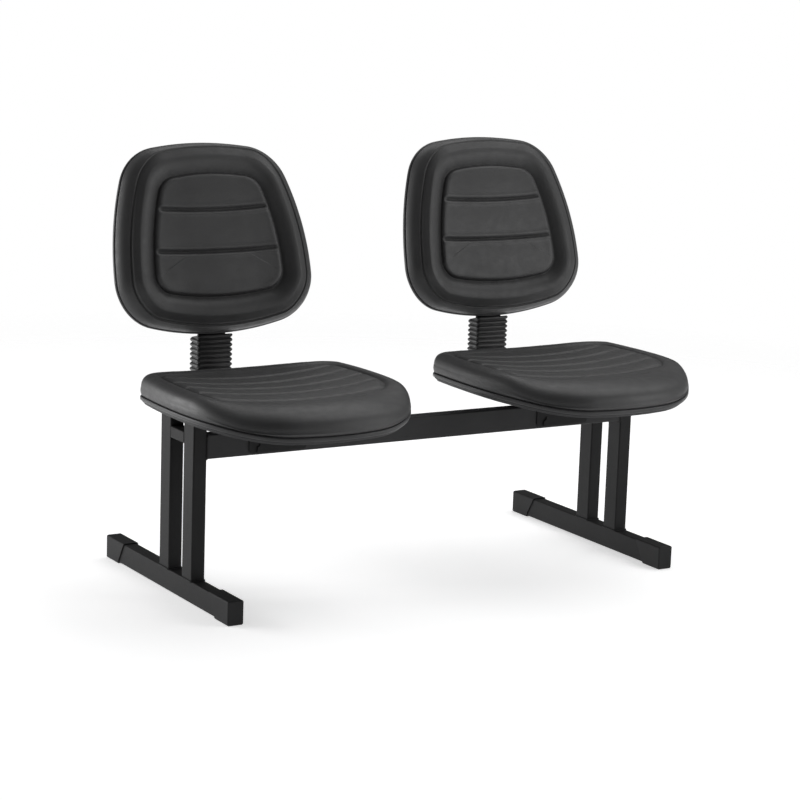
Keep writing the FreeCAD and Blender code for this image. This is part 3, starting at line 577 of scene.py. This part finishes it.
def seat_profile():
    """Seat cushion as rings of (x, y, z)."""
    O0, N0 = ring(SEAT, 0.0, CNT)
    P0, NP = ring(SEAT_PANEL, 0.0, CNT)
    fr = smooth(-N0[:, 1], 0.15, 0.92)         # 1 on the front roll
    re = smooth(N0[:, 1], 0.3, 0.95)
    Rd = 25.0 + 61.0 * fr + 2.0 * re
    Rz = 25.0 + 29.0 * fr + 2.0 * re
    lift = seat_curve(np.c_[O0, np.zeros(len(O0))])
    # groove weights paint shade into the colour along the tucked seam and panel loop; crest weights paint a highlight
    # band on the rounded roll and the panel edge
    rings, groove, crest, keys = [], [], [], []
    def add(P, z, g=0.0, c=0.0, key=0.0):
        z = np.broadcast_to(np.asarray(z, float), (len(P),))
        rings.append(np.c_[P[:, 0], P[:, 1], z])
        groove.append(np.broadcast_to(np.asarray(g, float), (len(P),)))
        crest.append(np.broadcast_to(np.asarray(c, float), (len(P),)))
        keys.append(key)
    def at(d):
        d = np.broadcast_to(np.asarray(d, float), (len(O0),))
        return O0 - N0 * d[:, None]
    for d, z, g in ((11, -7.4, 1), (7.5, -7.4, 1), (6.3, -5.5, 1), (6.0, -3.5, 1), (5.0, -1.2, 1), (2.8, 0.3, .9), (1.0, 1.6, .4)):
        add(at(d), Z_SEAM + lift + z, g)
    zw = Z_TOP - Rz                            # where the wall starts to round over
    for u, d in ((0.0, 0.3), (0.12, -0.2), (0.26, -0.7), (0.42, -1.0), (0.58, -1.1), (0.74, -0.9), (0.88, -0.5), (1.0, 0.0)):
        add(at(d), Z_SEAM + lift + 3.0 + (zw - Z_SEAM - lift - 3.0) * u, 0.0, 0.0, 1.0)
    n = 20
    for k in range(1, n + 1):
        th = math.pi / 2 * k / n
        p = 2.12 - 0.10 * fr
        d = Rd * (1 - math.cos(th) ** (2 / p))
        z = zw + Rz * math.sin(th) ** (2 / p)
        add(at(d), z, 0.0, 0.5 * math.sin(2 * th) ** 2, 1.0)
    A = at(Rd)
    for s, t, g, c in ((0.12, 0.0, 0, 0), (0.26, 0.15, 0, 0), (0.40, 0.5, 0, 0), (0.53, 1.1, .05, 0), (0.65, 1.9, .2, 0), (0.76, 2.8, .45, 0), (0.86, 3.5, .75, 0), (0.94, 3.9, .95, 0), (1.0, 4.1, 1, 0)):
        w = 1 - 0.70 * fr
        add(A + (P0 - A) * s, Z_TOP - t * w, g * w, c, 2.0)
    w = 1 - 0.70 * fr
    for d, t, g, c in ((1.0, 3.9, .95, 0), (2.0, 3.2, .75, 0), (3.4, 2.2, .35, .1), (5.0, 1.3, .1, .5), (7.0, 0.6, 0, .6), (9.5, 0.15, 0, .3), (12.5, 0.0, 0, 0)):
        add(P0 - NP * d, Z_TOP - t * w, g * w, c, 3.0)
    vc = SEAT_PANEL["v0"]
    C = np.array([0.0, vc])
    I = P0 - NP * 12.5
    m = 64
    for k in range(1, m + 1):
        s = k / (m + 1.0)
        add(I + (C - I) * s, Z_TOP, 0.0, 0.0, 4.0)
    return np.array(rings), np.array(groove), np.array(crest), np.array(keys), C


def panel_weight(spec, x, v, band):
    """1 well inside a panel outline, 0 at it and outside."""
    P, N = ring(spec, 0.0, (10, 14, 10))
    C = np.array([0.0, spec["v0"] + (spec["up"][0] - spec["lo"][0]) / 2])
    ang = np.arctan2(P[:, 1] - C[1], P[:, 0] - C[0])
    rad = np.hypot(P[:, 0] - C[0], P[:, 1] - C[1])
    o = np.argsort(ang)
    a = np.arctan2(v - C[1], x - C[0])
    R = np.interp(a, ang[o], rad[o], period=2 * math.pi)
    return smooth(R - np.hypot(x - C[0], v - C[1]), 1.0, band)


def inflate(name, base_rings, centre_pt, pin_test, cap_mm, voxel=0.0065, pressure=4.0):
    """Cloth pass on a plain copy of the cushion: sewn lines and the rim are held, the cover between them is blown
    up by the foam. Returns rest points and how far each moved."""
    V, F = loft(base_rings, close_start=True, close_end=True)
    V[-1] = centre_pt
    ob = mesh_object(name, V * MM, F)
    recalc(ob)
    bpy.context.view_layer.objects.active = ob
    for o in bpy.context.selected_objects:
        o.select_set(False)
    ob.select_set(True)
    ob.data.remesh_voxel_size = voxel
    ob.data.use_remesh_preserve_volume = True
    bpy.ops.object.voxel_remesh()
    rest = np.array([v.co for v in ob.data.vertices]) / MM
    w = pin_test(rest)
    vg = ob.vertex_groups.new(name="pin")
    for i in np.nonzero(w > 0.01)[0]:
        vg.add([int(i)], float(w[i]), "REPLACE")
    cl = ob.modifiers.new("cloth", "CLOTH")
    s = cl.settings
    s.quality = 5
    s.mass = 0.25
    s.tension_stiffness = 22
    s.compression_stiffness = 22
    s.shear_stiffness = 10
    s.bending_stiffness = 2.5
    s.use_pressure = True
    s.uniform_pressure_force = pressure
    s.vertex_group_mass = "pin"
    s.pin_stiffness = 1.0
    s.effector_weights.gravity = 0.0
    cl.collision_settings.use_collision = False
    cl.collision_settings.use_self_collision = False
    cl.point_cache.frame_start, cl.point_cache.frame_end = 1, 20
    for f in range(1, 21):
        scene.frame_set(f)
    dg = bpy.context.evaluated_depsgraph_get()
    ev = ob.evaluated_get(dg)
    moved = np.array([v.co for v in ev.data.vertices]) / MM
    scene.frame_set(1)
    D = moved - rest
    L = np.linalg.norm(D, axis=1)
    k = np.where(L > 1e-6, np.tanh(L / cap_mm) * cap_mm / np.maximum(L, 1e-6), 1.0)
    D *= k[:, None]
    bpy.data.objects.remove(ob)
    return rest, D


def carry(points, rest, D, k=60, sigma=11.0):
    """Displacement of the simulated cover at other points, smoothly weighted."""
    kd = KDTree(len(rest))
    for i, p in enumerate(rest):
        kd.insert(Vector(p), i)
    kd.balance()
    out = np.zeros((len(points), 3))
    for i, p in enumerate(points):
        near = kd.find_n(Vector(p), k)
        d = np.array([n[2] for n in near])
        w = np.exp(-0.5 * (d / sigma) ** 2) + 1e-6
        w /= w.sum()
        out[i] = w @ D[[n[1] for n in near]]
    return out


def smooth_rings(D, shape, n=3):
    """Light smoothing of a displacement over the ring grid."""
    G = D.reshape(shape + (3,))
    for _ in range(n):
        H = G.copy()
        H += np.roll(G, 1, 1) + np.roll(G, -1, 1)
        H[1:-1] += G[2:] + G[:-2]
        H[1:-1] /= 5.0
        H[0] /= 3.0
        H[-1] /= 3.0
        G = H
    return G.reshape(-1, 3)


def build_back_form():
    R, G, Cr, K, C = back_profile()
    shape = R.shape[:2]
    P = R.reshape(-1, 3).copy()
    g, cr = G.reshape(-1).copy(), Cr.reshape(-1).copy()
    key = np.repeat(K, shape[1])
    x, v = P[:, 0], P[:, 2]
    face = smooth(key, 1.2, 2.0)
    pw = panel_weight(BACK_PANEL, x, v, 14.0)
    c1, c2 = back_channels(x, v)
    keep = [k for k in range(len(R)) if not (1.0 < K[k] < 4.0) or k % 3 == 0]
    plain = R.copy()
    O0, N0 = ring(BACK, 0.0, CNT)
    sel = [k for k in keep]
    PR = plain[sel]
    PR = PR.copy()
    rest, D = inflate("sim_back", list(PR), np.array([C[0], PR[-1, :, 1].mean(), C[1]]), lambda Q: pin_back(Q), 5.0)
    d = carry(P, rest, D)
    d = smooth_rings(d, shape, 16)
    P = P + d * (1 - 0.85 * g)[:, None] * smooth(44.0 - R.reshape(-1, 3)[:, 1], 2.0, 10.0)[:, None]
    crown = crown_back(x, v) * face
    P[:, 1] -= crown
    # the two sewn cross channels and the rounded pillows between them
    for c in (c1, c2):
        P[:, 1] += pw * channel_shape(c, 6.0, 3.7, 1.0)
        # painted shade in the channels (g) and a painted highlight on their lips (cr)
        g = np.maximum(g, pw * np.exp(-(c / 3.2) ** 2))
        cr = np.maximum(cr, pw * 0.8 * np.exp(-((np.abs(c) - 7.5) / 2.5) ** 2))
    # slight puckers along the sewn lines
    a = np.arctan2(v - 40, x)
    near = np.exp(-((key - 2.6) / 0.6) ** 2)
    P[:, 1] += 0.22 * near * np.sin(a * 61 + 2.0 * np.sin(a * 7)) * smooth(g, 0.05, 0.6)
    return P, g, cr, shape, C


def pin_back(Q):
    """Held lines of the back's cover: rim, crease, loop channel and cross channels. Q is (x, t, v)."""
    x, t, v = Q[:, 0], Q[:, 1], Q[:, 2]
    w = smooth(t, 30.0, 38.0)
    P, _ = ring(BACK_PANEL, 0.0, (14, 20, 14))
    kd = KDTree(len(P))
    for i, p in enumerate(P):
        kd.insert(Vector((p[0], p[1], 0)), i)
    kd.balance()
    dl = np.array([kd.find(Vector((a, b, 0)))[2] for a, b in zip(x, v)])
    front = t < 16
    w = np.maximum(w, np.where(front, np.exp(-(dl / 5.0) ** 2), 0))
    inside = panel_weight(BACK_PANEL, x, v, 10.0)
    c1, c2 = back_channels(x, v)
    for c in (c1, c2):
        w = np.maximum(w, np.where(front, inside * np.exp(-(c / 5.0) ** 2), 0))
    O, N = ring(BACK, 19.0, (14, 20, 14))
    kd = KDTree(len(O))
    for i, p in enumerate(O):
        kd.insert(Vector((p[0], p[1], 0)), i)
    kd.balance()
    do = np.array([kd.find(Vector((a, b, 0)))[2] for a, b in zip(x, v)])
    w = np.maximum(w, np.where(front, np.exp(-(do / 5.0) ** 2), 0))
    return np.clip(w, 0, 1)


def pin_seat(Q):
    x, y, z = Q[:, 0], Q[:, 1], Q[:, 2]
    w = smooth(Z_SEAM + 9.0 + seat_curve(Q) - z, 0.0, 6.0)
    P, _ = ring(SEAT_PANEL, 0.0, (14, 20, 14))
    kd = KDTree(len(P))
    for i, p in enumerate(P):
        kd.insert(Vector((p[0], p[1], 0)), i)
    kd.balance()
    dl = np.array([kd.find(Vector((a, b, 0)))[2] for a, b in zip(x, y)])
    top = z > 425
    w = np.maximum(w, np.where(top, np.exp(-(dl / 5.0) ** 2), 0))
    inside = panel_weight(SEAT_PANEL, x, y, 10.0)
    for c in SEAT_CH:
        w = np.maximum(w, np.where(top, inside * np.exp(-(seat_line(x, y, c) / 5.0) ** 2), 0))
    return np.clip(w, 0, 1)


def build_seat_form():
    R, G, Cr, K, C = seat_profile()
    shape = R.shape[:2]
    P = R.reshape(-1, 3).copy()
    g, cr = G.reshape(-1).copy(), Cr.reshape(-1).copy()
    key = np.repeat(K, shape[1])
    x, y = P[:, 0].copy(), P[:, 1].copy()
    pw = panel_weight(SEAT_PANEL, x, y, 16.0)
    rest, D = inflate("sim_seat", list(R), np.array([C[0], C[1], Z_TOP]), pin_seat, 5.0)
    d = carry(P, rest, D)
    d = smooth_rings(d, shape, 16)
    rise = P[:, 2] - Z_SEAM - seat_curve(P)
    P = P + d * (1 - 0.85 * g)[:, None] * smooth(rise, 3.0, 16.0)[:, None]
    top = smooth(P[:, 2], 405.0, 446.0)
    P[:, 2] -= seat_dish(x, y) * top
    for c in SEAT_CH:
        s = seat_line(x, y, c)
        fade = 0.6 if c == SEAT_CH[-1] else 1.0
        P[:, 2] -= pw * fade * channel_shape(s, 4.6, 4.4, 0.8)
        # painted shade in the channels (g) and a painted highlight on their lips (cr)
        g = np.maximum(g, pw * 0.95 * fade * np.exp(-(s / 3.8) ** 2))
        cr = np.maximum(cr, pw * 0.6 * np.exp(-((np.abs(s) - 10.0) / 4.0) ** 2))
    # rounded pillows between channels
    for c0, c1 in zip(SEAT_CH[:-1], SEAT_CH[1:]):
        u = np.clip(seat_line(x, y, c1) / (c0 - c1), 0, 1)
        P[:, 2] += pw * 2.2 * np.sin(math.pi * u) ** 0.9
    a = np.arctan2(y + 85, x)
    near = np.exp(-((key - 2.6) / 0.6) ** 2)
    P[:, 2] += 0.2 * near * np.sin(a * 67 + 2.0 * np.sin(a * 5)) * smooth(g, 0.05, 0.6)
    return P, g, cr, shape, C


def cushion(name, P, g, cr, shape, centre, to_world, xc, node, slot, body, seed):
    """Final mesh of a cushion: rings lofted, capped, with a little unevenness of its own."""
    Q = P.copy()
    n = value_noise(Q, 34.0, seed)
    n2 = value_noise(Q, 90.0, seed + 5)
    if node.startswith("back"):
        Q[:, 1] += (0.22 * n + 0.5 * n2) * (1 - g) * smooth(40.0 - Q[:, 1], 2, 12)
    else:
        Q[:, 2] += (0.22 * n + 0.5 * n2) * (1 - g) * smooth(Q[:, 2] - seat_curve(Q), 396, 418)
    rings_ = Q.reshape(shape + (3,))
    V, F = loft(list(rings_), close_start=True, close_end=True)
    V = to_world(V, xc)
    ob = mesh_object(name, V, F)
    recalc(ob)
    # groove carries the painted shade and crest carries the painted highlight into the vinyl colour
    attribute(ob, "groove", np.r_[g, 1.0, 0.0])
    attribute(ob, "crest", np.r_[cr, 0.0, 0.0])
    dress(ob, slot)
    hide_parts(node)
    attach(ob, body)
    return ob


back_form = build_back_form()
seat_form = build_seat_form()
for i, (side, xc) in enumerate(SIDES.items()):
    P, g, cr, shape, C = back_form
    cushion("back_cushion_cover_" + side, P, g, cr, shape, C, back_to_world, xc, "back_cushion_" + side, "vinyl", "back_" + side, 11 + i)
    P, g, cr, shape, C = seat_form
    cushion("seat_cushion_cover_" + side, P, g, cr, shape, C, seat_to_world, xc, "seat_cushion_" + side, "vinyl", "root", 31 + i)


# ------------------------------------------------------------------ edge beads and rear shells
def swept(spec, prof, counts=(24, 30, 24)):
    """Closed profile of (inset, height) swept round an outline."""
    O0, N0 = ring(spec, 0.0, counts)
    return [np.c_[O0 - N0 * d, np.full(len(O0), h)] for d, h in prof]


for side, xc in SIDES.items():
    prof = [(5.8, -8.3), (1.0, -8.5), (-0.8, -8.1), (-1.4, -7.2), (-1.5, -5.9), (-1.3, -4.2), (-1.5, -2.5), (-1.1, -1.2), (-0.1, -0.3), (1.6, 0.0), (3.4, -0.4), (5.0, -1.2), (5.9, -2.9), (5.9, -6.0)]
    R = [r + np.c_[np.zeros((len(r), 2)), Z_SEAM + seat_curve(r)] for r in swept(SEAT, prof)]
    V, F = loft(R, cyclic=True)
    ob = mesh_object("seat_bead_trim_" + side, seat_to_world(V, xc), F)
    recalc(ob)
    dress(ob, "bead_pvc")
    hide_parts("seat_edge_bead_" + side)
    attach(ob, "root")

    prof = [(5.8, 47.9), (2.0, 48.0), (-0.4, 47.7), (-1.3, 46.6), (-1.5, 45.0), (-1.4, 43.2), (-0.9, 41.6), (0.2, 40.4), (2.0, 40.0), (3.8, 40.4), (5.4, 41.4), (5.9, 43.5)]
    R = [np.c_[r[:, 0], r[:, 2], r[:, 1]] for r in swept(BACK, prof)]
    V, F = loft(R, cyclic=True)
    ob = mesh_object("back_bead_trim_" + side, back_to_world(V, xc), F)
    recalc(ob)
    dress(ob, "bead_pvc")
    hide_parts("back_edge_bead_" + side)
    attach(ob, "back_" + side)


def shell_mesh(side, xc):
    """Rear shell of the back: rolled rim, shallow dome and a raised spine over the guide."""
    cnt = (22, 30, 22)
    O0, N0 = ring(BACK, 0.0, cnt)
    rings_ = []
    def lift(x, v, base):
        r = np.hypot(x / 216.0, (v - 40) / 196.0)
        dome = 3.0 * (1 - np.clip(r, 0, 1) ** 2)
        sp = (1 - smooth(np.abs(x), 47.0, 62.0)) * (1 - smooth(v, 93.0, 112.0))
        rib = (1 - smooth(np.abs(np.hypot(x / 190.0, (v - 36) / 172.0) - 0.86), 0.006, 0.022))
        return base + dome * (1 - sp) - 1.0 * rib * (1 - sp) + sp * (77.0 - base)
    for d, t in ((8.0, 47.2), (5.0, 47.6), (3.2, 48.2), (2.9, 49.6), (3.0, 51.4), (3.6, 53.4), (4.9, 55.3), (6.8, 57.0), (9.4, 58.2), (12.5, 58.8)):
        Q = O0 - N0 * d
        k = min(1.0, max(0.0, (t - 49.0) / 9.0))
        tt = t + k * (lift(Q[:, 0], Q[:, 1], 59.0) - 59.0)
        rings_.append(np.c_[Q[:, 0], tt, Q[:, 1]])
    I = O0 - N0 * 12.5
    C = np.array([0.0, 30.0])
    m = 60
    for k in range(1, m + 1):
        Q = I + (C - I) * (k / (m + 1.0))
        rings_.append(np.c_[Q[:, 0], lift(Q[:, 0], Q[:, 1], 59.0), Q[:, 1]])
    V, F = loft(rings_, close_end=True)
    ob = mesh_object("back_shell_cover_" + side, back_to_world(V, xc), F)
    recalc(ob)
    # normals must point rearwards before the wall is made inwards
    me = ob.data
    if sum(p.normal.y for p in me.polygons) < 0:
        me.flip_normals()
    so = ob.modifiers.new("wall", "SOLIDIFY")
    so.thickness = 2.4 * MM
    so.offset = -1.0
    # opening at the foot of the spine for the bar, rounded
    bm = bmesh.new()
    w, t0, t1 = 35.5, 49.0, 74.0
    def sect(v):
        out = []
        for cx, ct, a0 in ((w - 5, t1 - 5, 0), (-w + 5, t1 - 5, 90), (-w + 5, t0 + 5, 180), (w - 5, t0 + 5, 270)):
            for k in range(7):
                a = math.radians(a0 + 15 * k)
                out.append((cx + 5 * math.cos(a), ct + 5 * math.sin(a), v))
        return out
    Vc, Fc = loft([np.array(sect(-185.0)), np.array(sect(-128.0))], close_start=True, close_end=True)
    cut = mesh_object("cut_" + side, back_to_world(Vc, xc), Fc, False)
    recalc(cut)
    bo = ob.modifiers.new("slot", "BOOLEAN")
    bo.object = cut
    bo.operation = "DIFFERENCE"
    bo.solver = "EXACT"
    dg = bpy.context.evaluated_depsgraph_get()
    new = bpy.data.meshes.new_from_object(ob.evaluated_get(dg))
    ob.modifiers.clear()
    ob.data = new
    bpy.data.objects.remove(cut)
    new.polygons.foreach_set("use_smooth", [True] * len(new.polygons))
    md = ob.modifiers.new("wn", "WEIGHTED_NORMAL")
    md.keep_sharp = True
    dress(ob, "shell_plastic")
    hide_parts("back_shell_" + side)
    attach(ob, "back_" + side)
    return ob


for side, xc in SIDES.items():
    shell_mesh(side, xc)


# ------------------------------------------------------------------ bellows
def rounded(w, h, r, n):
    """Rounded rectangle, centred, n points per corner plus straights."""
    out = []
    for cx, cy, a0 in ((w / 2 - r, h / 2 - r, 0), (-w / 2 + r, h / 2 - r, 90), (-w / 2 + r, -h / 2 + r, 180), (w / 2 - r, -h / 2 + r, 270)):
        for k in range(n + 1):
            a = math.radians(a0 + 90.0 * k / n)
            out.append((cx + r * math.cos(a), cy + r * math.sin(a)))
    return np.array(out)


def bellows(side, xc):
    yb, z0, z1, n = 230.0, 390.0, 494.0, 10
    rings_, val = [], []
    def sec(inset, z, inner=0.0):
        w, h, r = 84.0 - 2 * inset, 43.0 - 2 * inset, max(7.0 - 0.5 * inset, 3.0)
        S = rounded(w - 2 * inner, h - 2 * inner, r, 7)
        ztop = 494.35 - 0.2679 * (yb + S[:, 1] - 209.0) - 1.2
        zz = np.minimum(np.full(len(S), z), ztop)
        return np.c_[S[:, 0] + xc, S[:, 1] + yb, zz]
    per = 14
    for i in range(n * per + 1):
        u = (i / per) % 1.0
        # rounded ridge at mid-pitch, pinched valley between
        ridge = (0.5 + 0.5 * math.cos(2 * math.pi * (u - 0.5))) ** 0.5
        rings_.append(sec(0.15 + 3.9 * (1 - ridge), z0 + (z1 - z0) * i / (n * per)))
        # valley weight for the painted shade in the folds
        val.append((1 - ridge) ** 1.5)
    # plain cuffs at both ends, folded inwards
    rings_ = [sec(3.0, z0, 2.2), sec(1.2, z0 - 0.0, 0.0)] + rings_
    # full painted shade on the folded cuffs
    val = [1, .5] + val
    inner = [sec(6.2, z1), sec(6.2, z0 + 4)]
    rings_ += inner
    # the inner rings get full painted shade
    val += [1, 1]
    V, F = loft(rings_, cyclic=True)
    ob = mesh_object("bellows_sleeve_" + side, V * MM, F)
    recalc(ob)
    attribute(ob, "valley", np.repeat(val, len(rings_[0])))
    dress(ob, "bellows_rubber")
    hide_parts("bellows_" + side)
    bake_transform(ob)


for side, xc in SIDES.items():
    bellows(side, xc)


# ------------------------------------------------------------------ weld beads
def weld_path(name, pts, r, seed, closed=True, squash_z=1.0):
    """Hand-laid fillet weld: a bead along points (mm) with overlapping ripples."""
    P = np.array(pts, float)
    if closed:
        P = np.vstack([P, P[0]])
    seg = np.linalg.norm(np.diff(P, axis=0), axis=1)
    L = np.r_[0, np.cumsum(seg)]
    n = max(12, int(L[-1] / 0.9))
    s = np.linspace(0, L[-1], n, endpoint=not closed)
    C = np.c_[np.interp(s, L, P[:, 0]), np.interp(s, L, P[:, 1]), np.interp(s, L, P[:, 2])]
    T = np.roll(C, -1, 0) - np.roll(C, 1, 0)
    if not closed:
        T[0], T[-1] = C[1] - C[0], C[-1] - C[-2]
    T /= np.maximum(np.linalg.norm(T, axis=1), 1e-9)[:, None]
    wob = value_noise(C, 9.0, seed)
    rings_ = []
    for i in range(n):
        rip = 1 + 0.10 * (2 * ((s[i] / 3.1) % 1.0) - 1) + 0.12 * wob[i]
        t = Vector(T[i])
        u = t.cross(Vector((0, 0, 1)))
        if u.length < 1e-3:
            u = t.cross(Vector((0, 1, 0)))
        u.normalize()
        w = t.cross(u)
        end = 1.0
        if not closed:
            end = min(1.0, min(s[i], L[-1] - s[i]) / r + 0.25)
        ring_ = []
        for k in range(10):
            a = 2 * math.pi * k / 10
            ring_.append(Vector(C[i]) + (u * math.cos(a) + w * math.sin(a)) * (r * rip * end))
        rings_.append(np.array([tuple(q) for q in ring_]))
    V, F = loft(rings_, cyclic=closed, close_start=not closed, close_end=not closed)
    ob = mesh_object(name, V * MM, F)
    recalc(ob)
    dress(ob, "frame_paint")
    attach(ob, "root")
    return ob


def rect_loop(cx, cy, w, h, r, z):
    return [(cx + p[0], cy + p[1], z) for p in rounded(w, h, r, 5)]


k = 0
for sx, side in ((-1, "left"), (1, "right")):
    x = sx * 520.0
    for nm, y in (("front", -52.5), ("rear", 52.5)):
        weld_path("weld_foot_%s_%s" % (nm, side), rect_loop(x, y, 30.6, 45.6, 3.2, 47.6), 2.1, 40 + k)
        k += 1
    # beam to the inner face of the front post
    xi = sx * 505.0
    lp = [(xi, -60.0 + p[0], 321.0 + p[1]) for p in rounded(30.6, 50.4, 3.2, 5)]
    weld_path("weld_beam_" + side, [q for q in lp], 1.9, 60 + k)
    k += 1
    for yy, nm in ((-30.0, "a"), (30.0, "b")):
        for xx in (x - 14.0, x + 14.0):
            weld_path("weld_tie_%s_%s_%d" % (side, nm, int(xx > x)), [(xx, yy, 324.0), (xx, yy, 344.0)], 1.7, 80 + k, closed=False)
            k += 1

# ------------------------------------------------------------------ stage, lights, camera
fl = mesh_object("floor", [(-14, -12, 0), (14, -12, 0), (14, 16, 0), (-14, 16, 0)], [(0, 1, 2, 3)], False)
m, nt, bs = material("floor_pale")
t = Tree(nt)
co = t.coords()
fn = t.noise(co, 3.0, 4.0, 0.6)
t.link(t.mix(fn, (0.93, 0.93, 0.935), (0.95, 0.95, 0.955)), bs.inputs["Base Color"])
bs.inputs["Roughness"].default_value = 0.75
bs.inputs["Specular IOR Level"].default_value = 0.15
# the sweep runs out into plain white well away from the object
ln = t.node("ShaderNodeVectorMath", operation="LENGTH")
t.link(co, ln.inputs[0])
fade = t.remap(ln.outputs["Value"], 1.3, 3.4, 0.0, 1.0)
tr = t.node("ShaderNodeBsdfTransparent")
mxs = t.node("ShaderNodeMixShader")
outn = [n for n in nt.nodes if n.bl_idname == "ShaderNodeOutputMaterial"][0]
t.link(fade, mxs.inputs[0])
glow = t.node("ShaderNodeEmission")
glow.inputs["Strength"].default_value = 0.50
both = t.node("ShaderNodeAddShader")
t.link(bs.outputs["BSDF"], both.inputs[0])
t.link(glow.outputs[0], both.inputs[1])
t.link(both.outputs[0], mxs.inputs[1])
t.link(tr.outputs[0], mxs.inputs[2])
t.link(mxs.outputs[0], outn.inputs["Surface"])
fl.data.materials.append(m)

w = bpy.data.worlds.new("studio")
scene.world = w
w.use_nodes = True
nt = w.node_tree
for n in list(nt.nodes):
    nt.nodes.remove(n)
t = Tree(nt)
out = t.node("ShaderNodeOutputWorld")
tc = t.node("ShaderNodeTexCoord")
sep = t.node("ShaderNodeSeparateXYZ")
t.link(tc.outputs["Generated"], sep.inputs[0])
# studio: bright to the left and overhead, weaker to the right, dark around the camera
dotc = t.node("ShaderNodeVectorMath", operation="DOT_PRODUCT")
t.link(tc.outputs["Generated"], dotc.inputs[0])
dotc.inputs[1].default_value = (-0.47, -0.78, 0.41)
dark = t.remap(dotc.outputs["Value"], 0.26, 0.88, 0.0, 1.0)
left = t.remap(sep.outputs["X"], -0.35, -0.95, 0.0, 1.0)
rgt = t.remap(sep.outputs["X"], 0.1, 0.75, 0.0, 1.0)
upw = t.remap(sep.outputs["Z"], 0.22, 0.85, 0.0, 1.0)
val = t.math("ADD", 0.17, t.math("MULTIPLY", left, 0.66))
val = t.math("ADD", val, t.math("MULTIPLY", rgt, 0.34))
val = t.math("ADD", val, t.math("MULTIPLY", upw, 0.16))
val = t.math("MULTIPLY", val, t.math("SUBTRACT", 1.0, t.math("MULTIPLY", dark, 0.90)))
# the wall behind the object is dim near the ground
dotr = t.node("ShaderNodeVectorMath", operation="DOT_PRODUCT")
t.link(tc.outputs["Generated"], dotr.inputs[0])
dotr.inputs[1].default_value = (0.50, 0.85, 0.10)
dim = t.remap(dotr.outputs["Value"], 0.45, 0.92, 0.0, 1.0)
val = t.math("MULTIPLY", val, t.math("SUBTRACT", 1.0, t.math("MULTIPLY", dim, 0.78)))
# below the horizon the white sweep carries on
low = t.remap(sep.outputs["Z"], 0.0, -0.10, 0.0, 1.0)
val = t.math("ADD", t.math("MULTIPLY", val, t.math("SUBTRACT", 1.0, low)), t.math("MULTIPLY", low, 0.85))
bg = t.node("ShaderNodeBackground")
t.link(val, bg.inputs["Strength"])
bg.inputs["Color"].default_value = (1, 1, 1, 1)
bgc = t.node("ShaderNodeBackground")
bgc.inputs["Color"].default_value = (1, 1, 1, 1)
bgc.inputs["Strength"].default_value = 1.0
lp = t.node("ShaderNodeLightPath")
mx = t.node("ShaderNodeMixShader")
t.link(lp.outputs["Is Camera Ray"], mx.inputs[0])
t.link(bg.outputs[0], mx.inputs[1])
t.link(bgc.outputs[0], mx.inputs[2])
t.link(mx.outputs[0], out.inputs["Surface"])


def area(name, loc, target, size, power, size_y=None):
    li = bpy.data.lights.new(name, "AREA")
    li.shape = "RECTANGLE"
    li.size = size
    li.size_y = size_y or size
    li.energy = power
    ob = bpy.data.objects.new(name, li)
    scene.collection.objects.link(ob)
    ob.location = loc
    d = Vector(target) - Vector(loc)
    ob.rotation_mode = "QUATERNION"
    ob.rotation_quaternion = d.to_track_quat("-Z", "Y")
    return ob


area("key_left", (-2.55, 1.8, 0.9), (0, 0, 0.5), 2.2, 50, 1.5)
area("top_rear", (0.9, 1.7, 2.8), (0, 0, 0.4), 2.2, 15, 1.6)
area("top", (1.7, -0.2, 2.9), (0.1, 0, 0.4), 2.2, 23, 2.2)
area("fill_right", (1.9, -1.9, 1.15), (0.2, 0.0, 0.62), 1.3, 16, 1.2)

cam = bpy.data.cameras.new("camera")
co_ = bpy.data.objects.new("camera", cam)
scene.collection.objects.link(co_)
az, el, roll = math.radians(-31.16), math.radians(11.19), math.radians(1.93)
dist, tgt = 5.1851, Vector((-0.01628, 0.0, 0.36705))
back = Vector((math.sin(az) * math.cos(el), -math.cos(az) * math.cos(el), math.sin(el)))
right = Vector((math.cos(az), math.sin(az), 0))
up = back.cross(right)
cr_, sr_ = math.cos(roll), math.sin(roll)
X = right * cr_ + up * sr_
Y = up * cr_ - right * sr_
M = Matrix(((X.x, Y.x, back.x), (X.y, Y.y, back.y), (X.z, Y.z, back.z)))
co_.rotation_mode = "QUATERNION"
co_.rotation_quaternion = M.to_quaternion()
co_.location = tgt + back * dist
cam.sensor_width = 36.0
cam.lens = 2460.63 / 800.0 * 36.0
cam.clip_start, cam.clip_end = 0.1, 60.0
scene.camera = co_

scene.view_settings.view_transform = "Standard"
scene.view_settings.look = "None"
scene.view_settings.exposure = 0.0
scene.view_settings.gamma = 1.0
